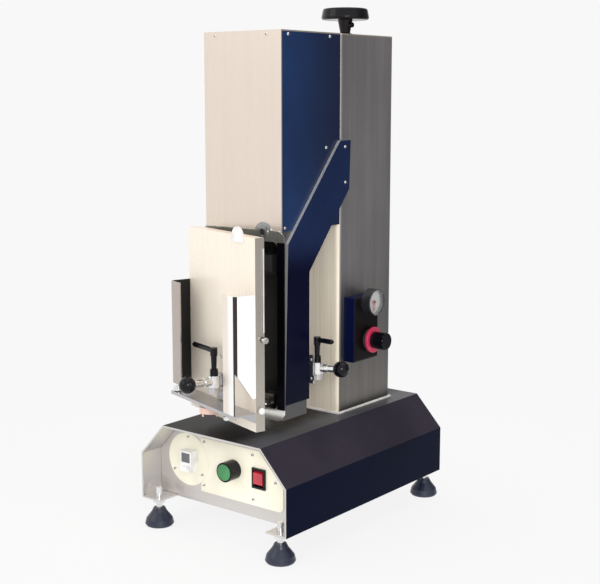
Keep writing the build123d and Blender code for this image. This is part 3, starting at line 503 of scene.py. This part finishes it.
def left_guide_shade(shader: Shader) -> Sock:
    """Picks out the left guide, painted darker than the right one as shade."""
    return shader.along_door() < LEFT_GUIDE_END


def left_leg_shade(shader: Shader) -> Sock:
    """Picks out the inside of the left guide's leg, painted black as a dark reflection."""
    return (shader.along_door() < LEFT_LEG_END) * (shader.across_door() > 0.5)


def guide_painted_highlight(shader: Shader) -> Sock:
    """Picks out the half of the right guide's front next to its bend, where a white highlight is
    painted.
    """
    return shader.along_door().ramp(*GUIDE_SHINE)


def guide_side(shader: Shader) -> Sock:
    """Picks out the outside of the right guide's leg."""
    return (shader.across_door() > 0.93) * (shader.along_door() > RIGHT_LEG_START)


def guide_bend_reflection(shader: Shader) -> Sock:
    """Picks out the outside of the right guide's bend, painted dark as a reflection."""
    turn = shader.across_door()
    return (turn > 0.45) * (turn < 0.93) * (shader.along_door() > RIGHT_LEG_START)


def slope_painted_reflection(shader: Shader) -> Sock:
    """Picks out the base cover's sloping shoulders, given a slate colour of their own as a
    painted reflection.
    """
    return (abs(shader.nx) > 0.3) * (abs(shader.nx) < 0.97)


def skirt_painted_reflection(shader: Shader) -> Sock:
    """Picks out the base cover's upright skirts, painted darker navy as a reflection."""
    return abs(shader.nx) > 0.97


def top_right_reflection(shader: Shader) -> Sock:
    """Picks out the right part of the base's top, beside the chamber, where a lighter painted
    reflection goes.
    """
    return (shader.nz > 0.9) * shader.x.ramp(*TOP_SHADE_X)


def door_front(shader: Shader) -> Sock:
    """Picks out the door's front face."""
    return (shader.nx * DOOR_SIN + shader.ny * DOOR_COS) < -0.8


def door_return_shade(shader: Shader) -> Sock:
    """Picks out the door's folded free edge, painted darker as shade."""
    return shader.across_door() > 0.8


class Finishes:
    """Every finish on the machine."""

    # The base cover is one folded sheet: its slopes and skirts take their own colours by the way
    # they face, as painted reflections.
    COVER = Gloss(
        "cover_paint", (0.012, 0.010, 0.009),
        (
            # The lighter grey on the right of the base's top is a painted reflection.
            (top_right_reflection, (0.10, 0.10, 0.11)), (slope_painted_reflection, (0.034, 0.029, 0.042)),
            (skirt_painted_reflection, (0.001, 0.003, 0.016)),
        ),
        rough=0.26, coat=0.0, bare=cover_bare, shine=0.03,
    )
    # The head's sides are navy, with painted shade towards the rear.
    SIDE = Gloss(
        "side_paint", (0.008, 0.027, 0.092), ((head_rear_shade, (0.007, 0.014, 0.045)),),
        rough=0.35, coat=0.0, shine=0.25,
    )
    # The brackets are navy, with painted shade on their lower legs.
    BRACKET = Gloss(
        "bracket_paint", (0.010, 0.020, 0.066), ((bracket_low_shade, (0.0005, 0.001, 0.015)),),
        rough=0.4, coat=0.0, bare=edge_bare, bare_colour=(0.97, 0.96, 0.95), shine=0.08,
    )
    # The regulator box is dark blue, with painted shade on its right face.
    BOX = Gloss(
        "box_paint", (0.003, 0.006, 0.040), ((side_face_shade, (0.005, 0.004, 0.004)),),
        rough=0.3, coat=0.0, shine=0.1,
    )
    BLACK = Gloss("black_paint", (0.05, 0.05, 0.05), rough=0.3, coat=0.2)
    GAUGE = Gloss("gauge_paint", (0.02, 0.02, 0.025), rough=0.25)
    PINK = Gloss("pink_paint", (0.75, 0.50, 0.42), rough=0.3)
    RED_RING = Gloss("red_paint", (0.62, 0.03, 0.10), rough=0.3, coat=0.5)
    PLATE = Gloss("plate_paint", (0.93, 0.89, 0.73), rough=0.42, coat=0.1)
    FRONT = Brushed("front_steel", (0.76, 0.67, 0.59), rough=0.30, contrast=0.025)
    # The door's folded free edge is painted darker as shade.
    DOOR = Brushed(
        "door_steel", (0.90, 0.82, 0.71), ((door_return_shade, (0.52, 0.48, 0.43)),),
        rough=0.30, contrast=0.03, relief=0.05, painted=door_front,
    )
    # The left guide is painted darker than the right guide as shade.
    GUIDE = Brushed(
        "guide_steel", (0.86, 0.78, 0.70),
        (
            # The white on the right guide's front, next to its bend, is a painted highlight.
            (guide_painted_highlight, WHITE), (left_guide_shade, (0.46, 0.41, 0.38)),
            # The black inside the left guide's leg is a painted dark reflection.
            (left_leg_shade, (0.03, 0.03, 0.03)), (guide_bend_reflection, (0.05, 0.04, 0.04)),
        # The dark on the right guide's bend is a painted reflection.
        ),
        rough=0.22, contrast=0.04, relief=0.05, painted=guide_side,
    )
    # The column's darker lower part is painted shade.
    COLUMN = Brushed(
        "column_steel", (0.42, 0.40, 0.41),
        ((low_down_shade, (0.20, 0.19, 0.18)), (front_painted_light, (0.98, 0.88, 0.72))),
        # The light cream on the column's front faces is painted light, and those faces are made
        # less metallic to take more light.
        rough=0.36, contrast=0.18, streak=120.0, painted=front_painted_light,
    )
    PANEL = Brushed("panel_steel", (0.70, 0.67, 0.64), rough=0.38, contrast=0.06, grain=Axis.X)
    SHELF = Brushed("shelf_steel", (0.52, 0.51, 0.52), rough=0.32, grain=Axis.X)
    EYE = Brushed("eye_steel", (0.34, 0.35, 0.36), rough=0.25)
    TRAY = Brushed("tray_steel", (0.50, 0.50, 0.52), rough=0.45, grain=Axis.Y)
    ALUMINIUM = Brushed("aluminium", (0.72, 0.72, 0.73), rough=0.35, grain=Axis.Y)
    BRASS = Brushed("brass", (0.74, 0.54, 0.28), rough=0.30)
    PLATED = Turned("plated_steel", (0.80, 0.80, 0.80), rough=0.16)
    MACHINED = Turned("machined_steel", (0.55, 0.54, 0.54), rough=0.28)
    # The near black on the chamber frame's uprights is a painted dark reflection.
    FRAME = Brushed(
        "frame_steel", (0.80, 0.78, 0.74),
        ((uprights_painted_reflection, (0.015, 0.016, 0.03)), (frame_head, (0.60, 0.62, 0.60))),
        rough=0.12, contrast=0.05, relief=0.03,
    )
    BLACK_PLASTIC = Moulded(
        "black_plastic", (0.004, 0.004, 0.007), rough=0.2, coat=0.1, shine=0.2,
    )
    WHITE_PLASTIC = Moulded("white_plastic", (0.86, 0.86, 0.85), rough=0.35, coat=0.3)
    WINDOW = Moulded("window_plastic", (0.10, 0.10, 0.11), rough=0.15, coat=0.8)
    GREEN = Moulded("green_plastic", (0.035, 0.24, 0.07), rough=0.3, coat=0.5)
    RED = Moulded("red_plastic", (0.55, 0.012, 0.03), rough=0.22, coat=0.8)
    RUBBER = Moulded("rubber", (0.008, 0.012, 0.035), rough=0.45, grain=0.15, coat=0.2)
    SEALANT = Moulded("sealant", (0.80, 0.78, 0.74), rough=0.5, grain=0.2)
    DIAL = Moulded("dial_white", (0.88, 0.88, 0.86), rough=0.4)
    # Black for the gauge's printed ticks, and for painted shade in the screw sockets and the
    # latch eye's hole.
    PRINT_AND_SHADE_BLACK = Moulded("print_and_shade_black", (0.01, 0.01, 0.01), rough=0.5)
    GLASS = Clear("glass", (0.97, 0.98, 0.98))


NODE_FINISHES: dict[Finish, tuple[str, ...]] = {
    Finishes.COVER: ("base_cover",),
    Finishes.SIDE: ("head_sides",),
    Finishes.BOX: ("regulator_box",),
    Finishes.BRACKET: ("right_bracket", "left_bracket"),
    Finishes.BLACK: ("chamber_box", "regulator_body", "heater_block"),
    Finishes.GAUGE: ("gauge_case",),
    Finishes.PINK: ("pin_ring",),
    Finishes.RED_RING: ("lock_ring",),
    Finishes.PLATE: ("label_plates",),
    Finishes.FRONT: ("head_front", "top_caps"),
    Finishes.DOOR: ("door_panel",),
    Finishes.GUIDE: ("pocket_guides",),
    Finishes.COLUMN: ("column_shell",),
    Finishes.PANEL: ("front_panel", "rear_panel"),
    Finishes.SHELF: ("pocket_shelf",),
    Finishes.TRAY: ("floor_tray",),
    Finishes.EYE: ("latch_eye",),
    Finishes.ALUMINIUM: ("power_supply", "solenoid_valve", "carriage", "air_cylinder"),
    Finishes.BRASS: ("air_inlet",),
    Finishes.PLATED: ("foot_studs", "cover_screws", "piston_rod", "left_arm", "right_arm"),
    Finishes.MACHINED: (
        "column_rods", "lead_screw", "anvil", "hinge_door", "hinge_fixed",
        "left_clamp_block", "right_clamp_base",
    ),
    Finishes.FRAME: ("chamber_frame",),
    Finishes.BLACK_PLASTIC: (
        "button_shroud", "rocker_bezel", "power_inlet", "handwheel",
        "left_ball", "right_ball", "left_lever", "right_lever", "regulator_knob",
    ),
    Finishes.WHITE_PLASTIC: ("counter_body", "counter_keys", "door_latch"),
    Finishes.WINDOW: ("counter_window",),
    Finishes.GREEN: ("button_cap",),
    Finishes.RED: ("rocker_key", "gauge_needle"),
    Finishes.RUBBER: (
        "foot_front_left", "foot_front_right", "foot_back_left", "foot_back_right",
    ),
}


def dress(frame: dict) -> None:
    """Gives every CAD node its finish.

    Args:
        frame: The loaded machine, whose "nodes" are its objects by name.
    """
    for finish, nodes in NODE_FINISHES.items():
        for name in nodes:
            mesh = frame["nodes"][name].data
            mesh.materials.clear()
            mesh.materials.append(finish.material())


# ---------------------------------------------------------------- small fittings


def finished(
    name: str, mesh: bpy.types.Mesh, finish: Finish, body: Body, smooth: bool = True
) -> bpy.types.Object:
    """Makes a piece from a mesh that is already in place, and lets it ride on a body.

    Args:
        name: The piece's name.
        mesh: The mesh, in the machine's frame.
        finish: The surface finish.
        body: The body that it moves with.
        smooth: Whether curved faces are shaded smooth.

    Returns:
        The piece.
    """
    mesh.materials.clear()
    mesh.materials.append(finish.material())
    if smooth:
        mesh.shade_smooth()
        mesh.set_sharp_from_angle(angle=math.radians(SHARP_ANGLE))
    piece = bpy.data.objects.new(name, mesh)
    bpy.context.scene.collection.objects.link(piece)
    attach(piece, body.value)
    log.info("piece %s has %d faces", name, len(mesh.polygons))
    return piece


@dataclass(frozen=True)
class Placing:
    """A local frame: an origin and the direction of its local x in the plan view, in degrees."""

    origin: Point = (0.0, 0.0, 0.0)
    turn: float = 0.0

    def matrix(self) -> Matrix:
        """Returns the frame as a matrix, in metres."""
        turned = Matrix.Rotation(math.radians(self.turn), 4, "Z")
        return Matrix.Translation(Vector(self.origin) * MM) @ turned


DOOR_PLACE = Placing((HINGE_X, HINGE_Y, 0.0), DOOR_TURN)


@dataclass(frozen=True)
class Lathe:
    """A turned piece: pairs of distance along its axis and radius, closed at both ends.

    Attributes:
        name: The piece's name.
        start: Where the axis starts, in millimetres.
        along: The axis direction.
        profile: (distance, radius) pairs from one end to the other.
        finish: The surface finish.
        body: The body that it rides on.
        place: The local frame.
        sides: The number of sides.
    """

    name: str
    start: Point
    along: Point
    profile: Profile
    finish: Finish
    body: Body = Body.STAND
    place: Placing = Placing()
    sides: int = 48

    def build(self) -> bpy.types.Object:
        """Makes the piece.

        Returns:
            The piece, riding on its body.
        """
        bm = bmesh.new()
        rings = []
        for distance, radius in self.profile:
            ring = []
            for i in range(self.sides):
                turn = 2 * math.pi * i / self.sides
                corner = (radius * math.cos(turn), radius * math.sin(turn), distance)
                ring.append(bm.verts.new(corner))
            rings.append(ring)
        for low, high in zip(rings, rings[1:]):
            for i in range(self.sides):
                j = (i + 1) % self.sides
                bm.faces.new((low[i], low[j], high[j], high[i]))
        bm.faces.new(list(reversed(rings[0])))
        bm.faces.new(rings[-1])
        align = Vector((0, 0, 1)).rotation_difference(Vector(self.along)).to_matrix().to_4x4()
        scale = Matrix.Scale(MM, 4)
        shift = Matrix.Translation(Vector(self.start) * MM)
        bm.transform(self.place.matrix() @ shift @ align @ scale)
        bmesh.ops.recalc_face_normals(bm, faces=bm.faces)
        mesh = bpy.data.meshes.new(self.name)
        bm.to_mesh(mesh)
        bm.free()
        return finished(self.name, mesh, self.finish, self.body)


def ball_profile(radius: float, steps: int = 14) -> Profile:
    """Returns a ball's profile, from one pole to the other."""
    turns = [math.pi * (i + 0.25) / (steps - 0.5) for i in range(steps)]
    return tuple((radius * (1 - math.cos(t)), radius * math.sin(t)) for t in turns)


@dataclass(frozen=True)
class Bead:
    """A bead of sealant along a closed path.

    Attributes:
        name: The piece's name.
        path: The corner points, in millimetres.
        radius: The bead's radius.
        finish: The surface finish.
    """

    name: str
    path: tuple[Point, ...]
    radius: float
    finish: Finish

    def build(self) -> bpy.types.Object:
        """Makes the bead as a mesh tube.

        Returns:
            The piece, riding on the stand.
        """
        curve = bpy.data.curves.new(self.name + "_curve", "CURVE")
        curve.dimensions = "3D"
        curve.bevel_depth = self.radius * MM
        curve.bevel_resolution = 3
        curve.use_fill_caps = True
        spline = curve.splines.new("POLY")
        spline.points.add(len(self.path) - 1)
        for point, place in zip(spline.points, self.path):
            point.co = (*[v * MM for v in place], 1.0)
        spline.use_cyclic_u = True
        holder = bpy.data.objects.new(self.name + "_holder", curve)
        bpy.context.scene.collection.objects.link(holder)
        bpy.context.view_layer.update()
        graph = bpy.context.evaluated_depsgraph_get()
        mesh = bpy.data.meshes.new_from_object(holder.evaluated_get(graph))
        bpy.data.objects.remove(holder)
        return finished(self.name, mesh, self.finish, Body.STAND)


# ---------------------------------------------------------------- repeats by Geometry Nodes


class Repeat:
    """A Geometry Nodes group that puts one small form on every point of a mesh.

    The points carry a "facing" vector. The group's named inputs are the form's radius, depth
    and sides, and its material.
    """

    INPUTS = (
        ("Radius", "NodeSocketFloat"), ("Depth", "NodeSocketFloat"), ("Sides", "NodeSocketInt"),
    )

    def __init__(self, name: str) -> None:
        self.group = bpy.data.node_groups.new(name, "GeometryNodeTree")
        face = self.group.interface
        face.new_socket("Geometry", in_out="INPUT", socket_type="NodeSocketGeometry")
        for label, kind in self.INPUTS:
            face.new_socket(label, in_out="INPUT", socket_type=kind)
        face.new_socket("Material", in_out="INPUT", socket_type="NodeSocketMaterial")
        face.new_socket("Geometry", in_out="OUTPUT", socket_type="NodeSocketGeometry")
        nodes = self.group.nodes
        links = self.group.links
        start = nodes.new("NodeGroupInput")
        end = nodes.new("NodeGroupOutput")
        form = nodes.new("GeometryNodeMeshCylinder")
        links.new(start.outputs["Sides"], form.inputs["Vertices"])
        links.new(start.outputs["Radius"], form.inputs["Radius"])
        links.new(start.outputs["Depth"], form.inputs["Depth"])
        facing = nodes.new("GeometryNodeInputNamedAttribute")
        facing.data_type = "FLOAT_VECTOR"
        facing.inputs["Name"].default_value = "facing"
        align = nodes.new("FunctionNodeAlignRotationToVector")
        align.axis = "Z"
        links.new(facing.outputs["Attribute"], align.inputs["Vector"])
        put = nodes.new("GeometryNodeInstanceOnPoints")
        links.new(start.outputs["Geometry"], put.inputs["Points"])
        links.new(form.outputs["Mesh"], put.inputs["Instance"])
        links.new(align.outputs["Rotation"], put.inputs["Rotation"])
        realize = nodes.new("GeometryNodeRealizeInstances")
        links.new(put.outputs["Instances"], realize.inputs["Geometry"])
        paint = nodes.new("GeometryNodeSetMaterial")
        links.new(realize.outputs["Geometry"], paint.inputs["Geometry"])
        links.new(start.outputs["Material"], paint.inputs["Material"])
        links.new(paint.outputs["Geometry"], end.inputs["Geometry"])

    def build(
        self,
        name: str,
        points: Sequence[tuple[Point, Point]],
        radius: float,
        depth: float,
        sides: int,
        finish: Finish,
        body: Body = Body.STAND,
    ) -> bpy.types.Object:
        """Puts the form on points and makes one piece of it.

        Args:
            name: The piece's name.
            points: (place, facing) pairs, places in millimetres.
            radius: The form's radius, in millimetres.
            depth: The form's depth, in millimetres.
            sides: The form's number of sides.
            finish: The surface finish.
            body: The body that it rides on.

        Returns:
            The piece, riding on its body.
        """
        mesh = bpy.data.meshes.new(name + "_points")
        mesh.from_pydata([tuple(v * MM for v in place) for place, _ in points], [], [])
        attribute = mesh.attributes.new("facing", "FLOAT_VECTOR", "POINT")
        for item, (_, facing) in zip(attribute.data, points):
            item.vector = facing
        holder = bpy.data.objects.new(name + "_holder", mesh)
        bpy.context.scene.collection.objects.link(holder)
        modifier = holder.modifiers.new("repeat", "NODES")
        modifier.node_group = self.group
        wanted = {
            "Radius": radius * MM, "Depth": depth * MM, "Sides": sides,
            "Material": finish.material(),
        }
        for item in self.group.interface.items_tree:
            if item.in_out == "INPUT" and item.name in wanted:
                modifier[item.identifier] = wanted[item.name]
        bpy.context.view_layer.update()
        graph = bpy.context.evaluated_depsgraph_get()
        made = bpy.data.meshes.new_from_object(holder.evaluated_get(graph))
        holder.modifiers.clear()
        bpy.data.objects.remove(holder)
        made.name = name
        return finished(name, made, finish, body, smooth=False)


@dataclass(frozen=True)
class Screws:
    """The machine's small screws: the faces they sit on and their places, in millimetres.

    Attributes:
        head: How far a screw's head stands out.
        plate_face: The y of the front plates' faces.
        front_face: The y of the head's front face.
        side_face: The x of the head's side faces.
        bracket_face: The x of the brackets' faces.
        plate: (x, z) of the screws on the front plates.
        front: (x, z) of the screws on the head's front.
        side: (y, z) of the screws on each side of the head.
        bracket: (y, z) of the screws on each bracket.
        socket_radius: The radius of a screw's socket.
        socket_depth: How deep the socket's black disc of painted shade is.
    """

    head: float = 1.8
    plate_face: float = -165.0
    front_face: float = -126.0
    side_face: float = 74.0
    bracket_face: float = 79.0
    plate: tuple[tuple[float, float], ...] = (
        (-48.1, 141.2), (-48.7, 72.3), (49.7, 139.3), (93.5, 104.9), (50.5, 70.8),
        (-81.6, 143.2), (-110.4, 87.4), (-52.4, 87.8),
    )
    front: tuple[tuple[float, float], ...] = ((-51.7, 749.0), (46.9, 749.0))
    side: tuple[tuple[float, float], ...] = (
        (-110.0, 749.0), (-12.0, 749.0), (-20.0, 586.0), (-118.0, 473.0),
    )
    bracket: tuple[tuple[float, float], ...] = ((21.0, 586.0), (22.0, 532.0))
    socket_radius: float = 1.1
    socket_depth: float = 0.3

    def points(self) -> list[tuple[Point, Point]]:
        """Returns the middle of each screw's outer face and its direction."""
        found: list[tuple[Point, Point]] = []
        for x, z in self.plate:
            found.append(((x, self.plate_face - self.head, z), (0.0, -1.0, 0.0)))
        for x, z in self.front:
            found.append(((x, self.front_face - self.head, z), (0.0, -1.0, 0.0)))
        for side in (-1.0, 1.0):
            for y, z in self.side:
                found.append(((side * (self.side_face + self.head), y, z), (side, 0.0, 0.0)))
            for y, z in self.bracket:
                found.append(((side * (self.bracket_face + self.head), y, z), (side, 0.0, 0.0)))
        return found

    def build(self, repeat: Repeat) -> None:
        """Makes the screws' sockets as six-sided black discs of painted shade."""
        repeat.build(
            "screw_socket_shade", self.points(), self.socket_radius, self.socket_depth, 6, Finishes.PRINT_AND_SHADE_BLACK
        )


@dataclass(frozen=True)
class GaugeFace:
    """The gauge's dial, its ticks and its glass, all facing right; sizes in millimetres.

    Attributes:
        x: The dial recess's floor.
        y: The gauge's middle, along the machine.
        z: The gauge's middle height.
        radius: The dial's radius.
        lens_x: The glass's inner face.
        ticks: The number of ticks.
        first: The first tick's turn, in degrees.
        sweep: The turn from the first tick to the last, in degrees.
        margin: How far the ticks stand in from the dial's rim.
        lift: How far the ticks' middles stand above the recess's floor.
    """

    x: float = 101.0
    y: float = 66.0
    z: float = 343.0
    radius: float = 19.2
    lens_x: float = 108.2
    ticks: int = 28
    first: float = -45.0
    sweep: float = 270.0
    margin: float = 3.0
    lift: float = 0.55

    def build(self, repeat: Repeat) -> None:
        """Makes the dial, ticks and glass."""
        out = (1, 0, 0)
        dial = ((0.15, self.radius), (0.45, self.radius))
        Lathe("gauge_dial", (self.x, self.y, self.z), out, dial, Finishes.DIAL).build()
        marks: list[tuple[Point, Point]] = []
        reach = self.radius - self.margin
        for i in range(self.ticks):
            turn = math.radians(self.first + self.sweep * i / (self.ticks - 1))
            y, z = self.y + reach * math.cos(turn), self.z + reach * math.sin(turn)
            marks.append(((self.x + self.lift, y, z), (1.0, 0.0, 0.0)))
        repeat.build("gauge_ticks", marks, 0.55, 0.2, 8, Finishes.PRINT_AND_SHADE_BLACK)
        glass = ((0.0, self.radius), (0.8, self.radius), (1.2, self.radius - 1.0))
        Lathe("gauge_glass", (self.lens_x, self.y, self.z), out, glass, Finishes.GLASS).build()


@dataclass(frozen=True)
class DoorFittings:
    """The small fittings on the door, in the door's own frame, in millimetres.

    Attributes:
        side: The door's free edge.
        edge_y: The middle of the free edge's lower end, where the catch ball sits.
        catch_z: The catch ball's height.
        catch_radius: The catch ball's radius.
        knob_y: The knob's and the catch rod's place across the free edge.
        knob_z: The knob's height.
        rod_z: The catch rod's two ends.
        rod_radius: The catch rod's radius.
        thumbscrew: Where the left guide's thumbscrew starts.
        foot_screw: Where the shelf's screw starts.
        plate_screw: Where the screw on the door's front starts.
    """

    side: float = 188.0
    edge_y: float = 7.5
    catch_z: float = 219.0
    catch_radius: float = 5.0
    knob_y: float = 13.0
    knob_z: float = 321.0
    rod_z: tuple[float, float] = (332.0, 452.0)
    rod_radius: float = 1.4
    thumbscrew: Point = (8.0, -27.0, 216.0)
    foot_screw: Point = (157.0, -30.0, 204.0)
    plate_screw: Point = (92.0, 0.0, 282.0)

    def pieces(self) -> tuple[tuple[str, Point, Point, Profile, Finish], ...]:
        """Returns each fitting's name, start, direction, profile and finish."""
        low, high = self.rod_z
        right, up, front = (1, 0, 0), (0, 0, 1), (0, -1, 0)
        plated = Finishes.PLATED
        catch = (self.side - 1.0, self.edge_y, self.catch_z)
        knob = (self.side, self.knob_y, self.knob_z)
        rod = (self.side + self.rod_radius, self.knob_y, low)
        return (
            ("catch_ball", catch, right, ball_profile(self.catch_radius), Finishes.WHITE_PLASTIC),
            (
                "door_knob", knob, right,
                ((0.0, 2.6), (3.0, 2.6), (3.4, 4.4), (7.0, 4.6), (8.0, 3.8)), Finishes.MACHINED,
            ),
            (
                "catch_rod", rod, up,
                ((0.0, self.rod_radius), (high - low, self.rod_radius)), plated,
            ),
            (
                "guide_thumbscrew", self.thumbscrew, up,
                ((0.0, 5.0), (1.2, 7.2), (7.6, 7.2), (8.4, 6.4), (8.6, 2.6), (14.0, 2.6)), plated,
            ),
            (
                "shelf_screw", self.foot_screw, up,
                ((0.0, 4.0), (0.8, 4.8), (5.0, 4.8), (5.0, 2.5), (10.0, 2.5)), plated,
            ),
            (
                "door_screw", self.plate_screw, front,
                ((0.0, 3.0), (1.2, 2.8), (1.8, 2.0)), plated,
            ),
        )

    def build(self) -> None:
        """Makes each fitting."""
        for piece in self.pieces():
            Lathe(*piece, body=Body.DOOR, place=DOOR_PLACE).build()


@dataclass(frozen=True)
class StandFittings:
    """The sealant at the column's foot and a black disc of painted shade in the latch eye's hole,
    in millimetres.

    Attributes:
        half_width: Half the width of the sealant's path.
        front: The path's front.
        back: The path's back.
        base_top: The height of the base's top.
        bead: The sealant's radius.
        eye: The middle of the eye's front face.
        hole: The hole's radius, which the black disc of painted shade fills.
    """

    half_width: float = 73.0
    front: float = 14.0
    back: float = 158.0
    base_top: float = 168.0
    bead: float = 2.4
    eye: Point = (40.0, -128.1, 466.0)
    hole: float = 4.6

    def build(self) -> None:
        """Makes the sealant, and a black disc of painted shade in the eye's hole."""
        half, z = self.half_width, self.base_top
        foot = (
            (-half, self.front, z), (half, self.front, z),
            (half, self.back, z), (-half, self.back, z),
        )
        Bead("column_sealant", foot, self.bead, Finishes.SEALANT).build()
        # A thin black disc stands in the eye's hole as painted shade.
        hole = ((0.0, self.hole), (0.3, self.hole))
        Lathe("eye_hole_shade", self.eye, (0, -1, 0), hole, Finishes.PRINT_AND_SHADE_BLACK).build()


# ---------------------------------------------------------------- studio


@dataclass(frozen=True)
class Softbox:
    """A soft rectangular light."""

    name: str
    place: Point
    target: Point
    size: tuple[float, float]
    power: float
    colour: Colour = WHITE

    def build(self) -> None:
        """Makes the light."""
        data = bpy.data.lights.new(self.name, "AREA")
        data.shape = "RECTANGLE"
        data.size, data.size_y = self.size
        data.energy = self.power
        data.color = self.colour
        lamp = bpy.data.objects.new(self.name, data)
        bpy.context.scene.collection.objects.link(lamp)
        lamp.location = self.place
        aim = Vector(self.target) - Vector(self.place)
        lamp.rotation_euler = aim.to_track_quat("-Z", "Y").to_euler()


@dataclass(frozen=True)
class Studio:
    """The floor, the surroundings, the lights and the camera, in metres.

    Attributes:
        lens: The camera's focal length, in millimetres.
        sensor: The camera's sensor width, in millimetres.
        eye: The camera's place.
        target: What the camera looks at.
        middle: What the lights look at.
        glow: The room's strength on its light side.
        shade: The room's strength on its dark side.
        dark_way: The direction of the room's dark side.
        turn_dark: How far along that direction the room starts and ends to darken.
        backdrop: The value of the plain backdrop.
        floor_value: The floor's own light under the machine.
        floor_reach: The floor's radius.
        floor_fade: The distances between which the floor turns into the backdrop.
    """

    lens: float = 71.5
    sensor: float = 36.0
    eye: Point = (1.1612, -1.4488, 0.6631)
    target: Point = (0.0077, 0.0, 0.3575)
    middle: Point = (0.0, 0.0, 0.4)
    glow: float = 1.0
    shade: float = 0.2
    dark_way: Point = (0.5, 0.866, 0.0)
    turn_dark: tuple[float, float] = (0.35, 0.95)
    backdrop: float = 0.9387
    floor_value: float = 0.84
    floor_reach: float = 1.15
    floor_fade: tuple[float, float] = (0.3, 0.9)

    def build(self) -> None:
        """Makes the studio."""
        self.floor()
        self.surroundings()
        warm = (1.0, 0.97, 0.93)
        Softbox("key", (-1.6, -2.6, 2.2), self.middle, (1.8, 1.8), 12.0, warm).build()
        Softbox("fill", (1.5, -1.4, 0.9), self.middle, (0.6, 0.6), 12.0).build()
        Softbox("top", (0.2, 0.3, 3.0), self.middle, (2.0, 2.0), 8.0).build()
        camera = bpy.data.objects.new("camera", bpy.data.cameras.new("camera"))
        bpy.context.scene.collection.objects.link(camera)
        camera.data.lens = self.lens
        camera.data.sensor_width = self.sensor
        camera.location = self.eye
        aim = Vector(self.target) - Vector(self.eye)
        camera.rotation_euler = aim.to_track_quat("-Z", "Y").to_euler()
        bpy.context.scene.camera = camera
        bpy.context.scene.view_settings.view_transform = "Standard"

    def floor(self) -> None:
        """Makes the pale floor, a disc whose rim is as light as the backdrop."""
        bm = bmesh.new()
        bmesh.ops.create_circle(bm, cap_ends=True, segments=128, radius=self.floor_reach)
        mesh = bpy.data.meshes.new("floor")
        bm.to_mesh(mesh)
        bm.free()
        floor = bpy.data.objects.new("floor", mesh)
        bpy.context.scene.collection.objects.link(floor)
        shader = Shader("floor_white")
        cloud = shader.noise((1.5, 1.5, 1.5), 2.0)
        distance = (shader.x * shader.x + shader.y * shader.y).power(0.5)
        away = distance.ramp(*self.floor_fade)
        near = shader.blend(cloud, (0.10, 0.10, 0.10), (0.11, 0.11, 0.11))
        glow = shader.blend(away, (self.floor_value,) * 3, (self.backdrop,) * 3)
        shader.surface(Base_Color=shader.blend(away, near, NO_COLOUR), Roughness=1.0)
        shader.surface(Emission_Color=glow, Emission_Strength=1.0, Specular_IOR_Level=0.0)
        mesh.materials.append(shader.material)

    def surroundings(self) -> None:
        """Makes a white room with a darker side, behind and to the right of the machine."""
        world = bpy.data.worlds.new("studio")
        world.use_nodes = True
        bpy.context.scene.world = world
        nodes = world.node_tree.nodes
        links = world.node_tree.links
        nodes.clear()
        place = nodes.new("ShaderNodeTexCoord")
        dot = nodes.new("ShaderNodeVectorMath")
        dot.operation = "DOT_PRODUCT"
        dot.inputs[1].default_value = self.dark_way
        links.new(place.outputs["Generated"], dot.inputs[0])
        ramp = nodes.new("ShaderNodeMapRange")
        ramp.interpolation_type = "SMOOTHSTEP"
        limits = (*self.turn_dark, self.glow, self.shade)
        for slot, value in zip(("From Min", "From Max", "To Min", "To Max"), limits):
            ramp.inputs[slot].default_value = value
        links.new(dot.outputs["Value"], ramp.inputs["Value"])
        room = nodes.new("ShaderNodeBackground")
        room.inputs["Color"].default_value = (1.0, 0.99, 0.98, 1.0)
        links.new(ramp.outputs[0], room.inputs["Strength"])
        plain = nodes.new("ShaderNodeBackground")
        plain.inputs["Color"].default_value = (*(self.backdrop,) * 3, 1.0)
        path = nodes.new("ShaderNodeLightPath")
        mix = nodes.new("ShaderNodeMixShader")
        links.new(path.outputs["Is Camera Ray"], mix.inputs[0])
        links.new(room.outputs[0], mix.inputs[1])
        links.new(plain.outputs[0], mix.inputs[2])
        output = nodes.new("ShaderNodeOutputWorld")
        links.new(mix.outputs[0], output.inputs[0])


# ---------------------------------------------------------------- the whole


def main() -> None:
    """Builds the picture."""
    logging.basicConfig(level=logging.INFO)
    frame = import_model()
    dress(frame)
    repeat = Repeat("fastener_repeat")
    Screws().build(repeat)
    GaugeFace().build(repeat)
    DoorFittings().build()
    StandFittings().build()
    Studio().build()


if __name__ == "__main__":
    main()
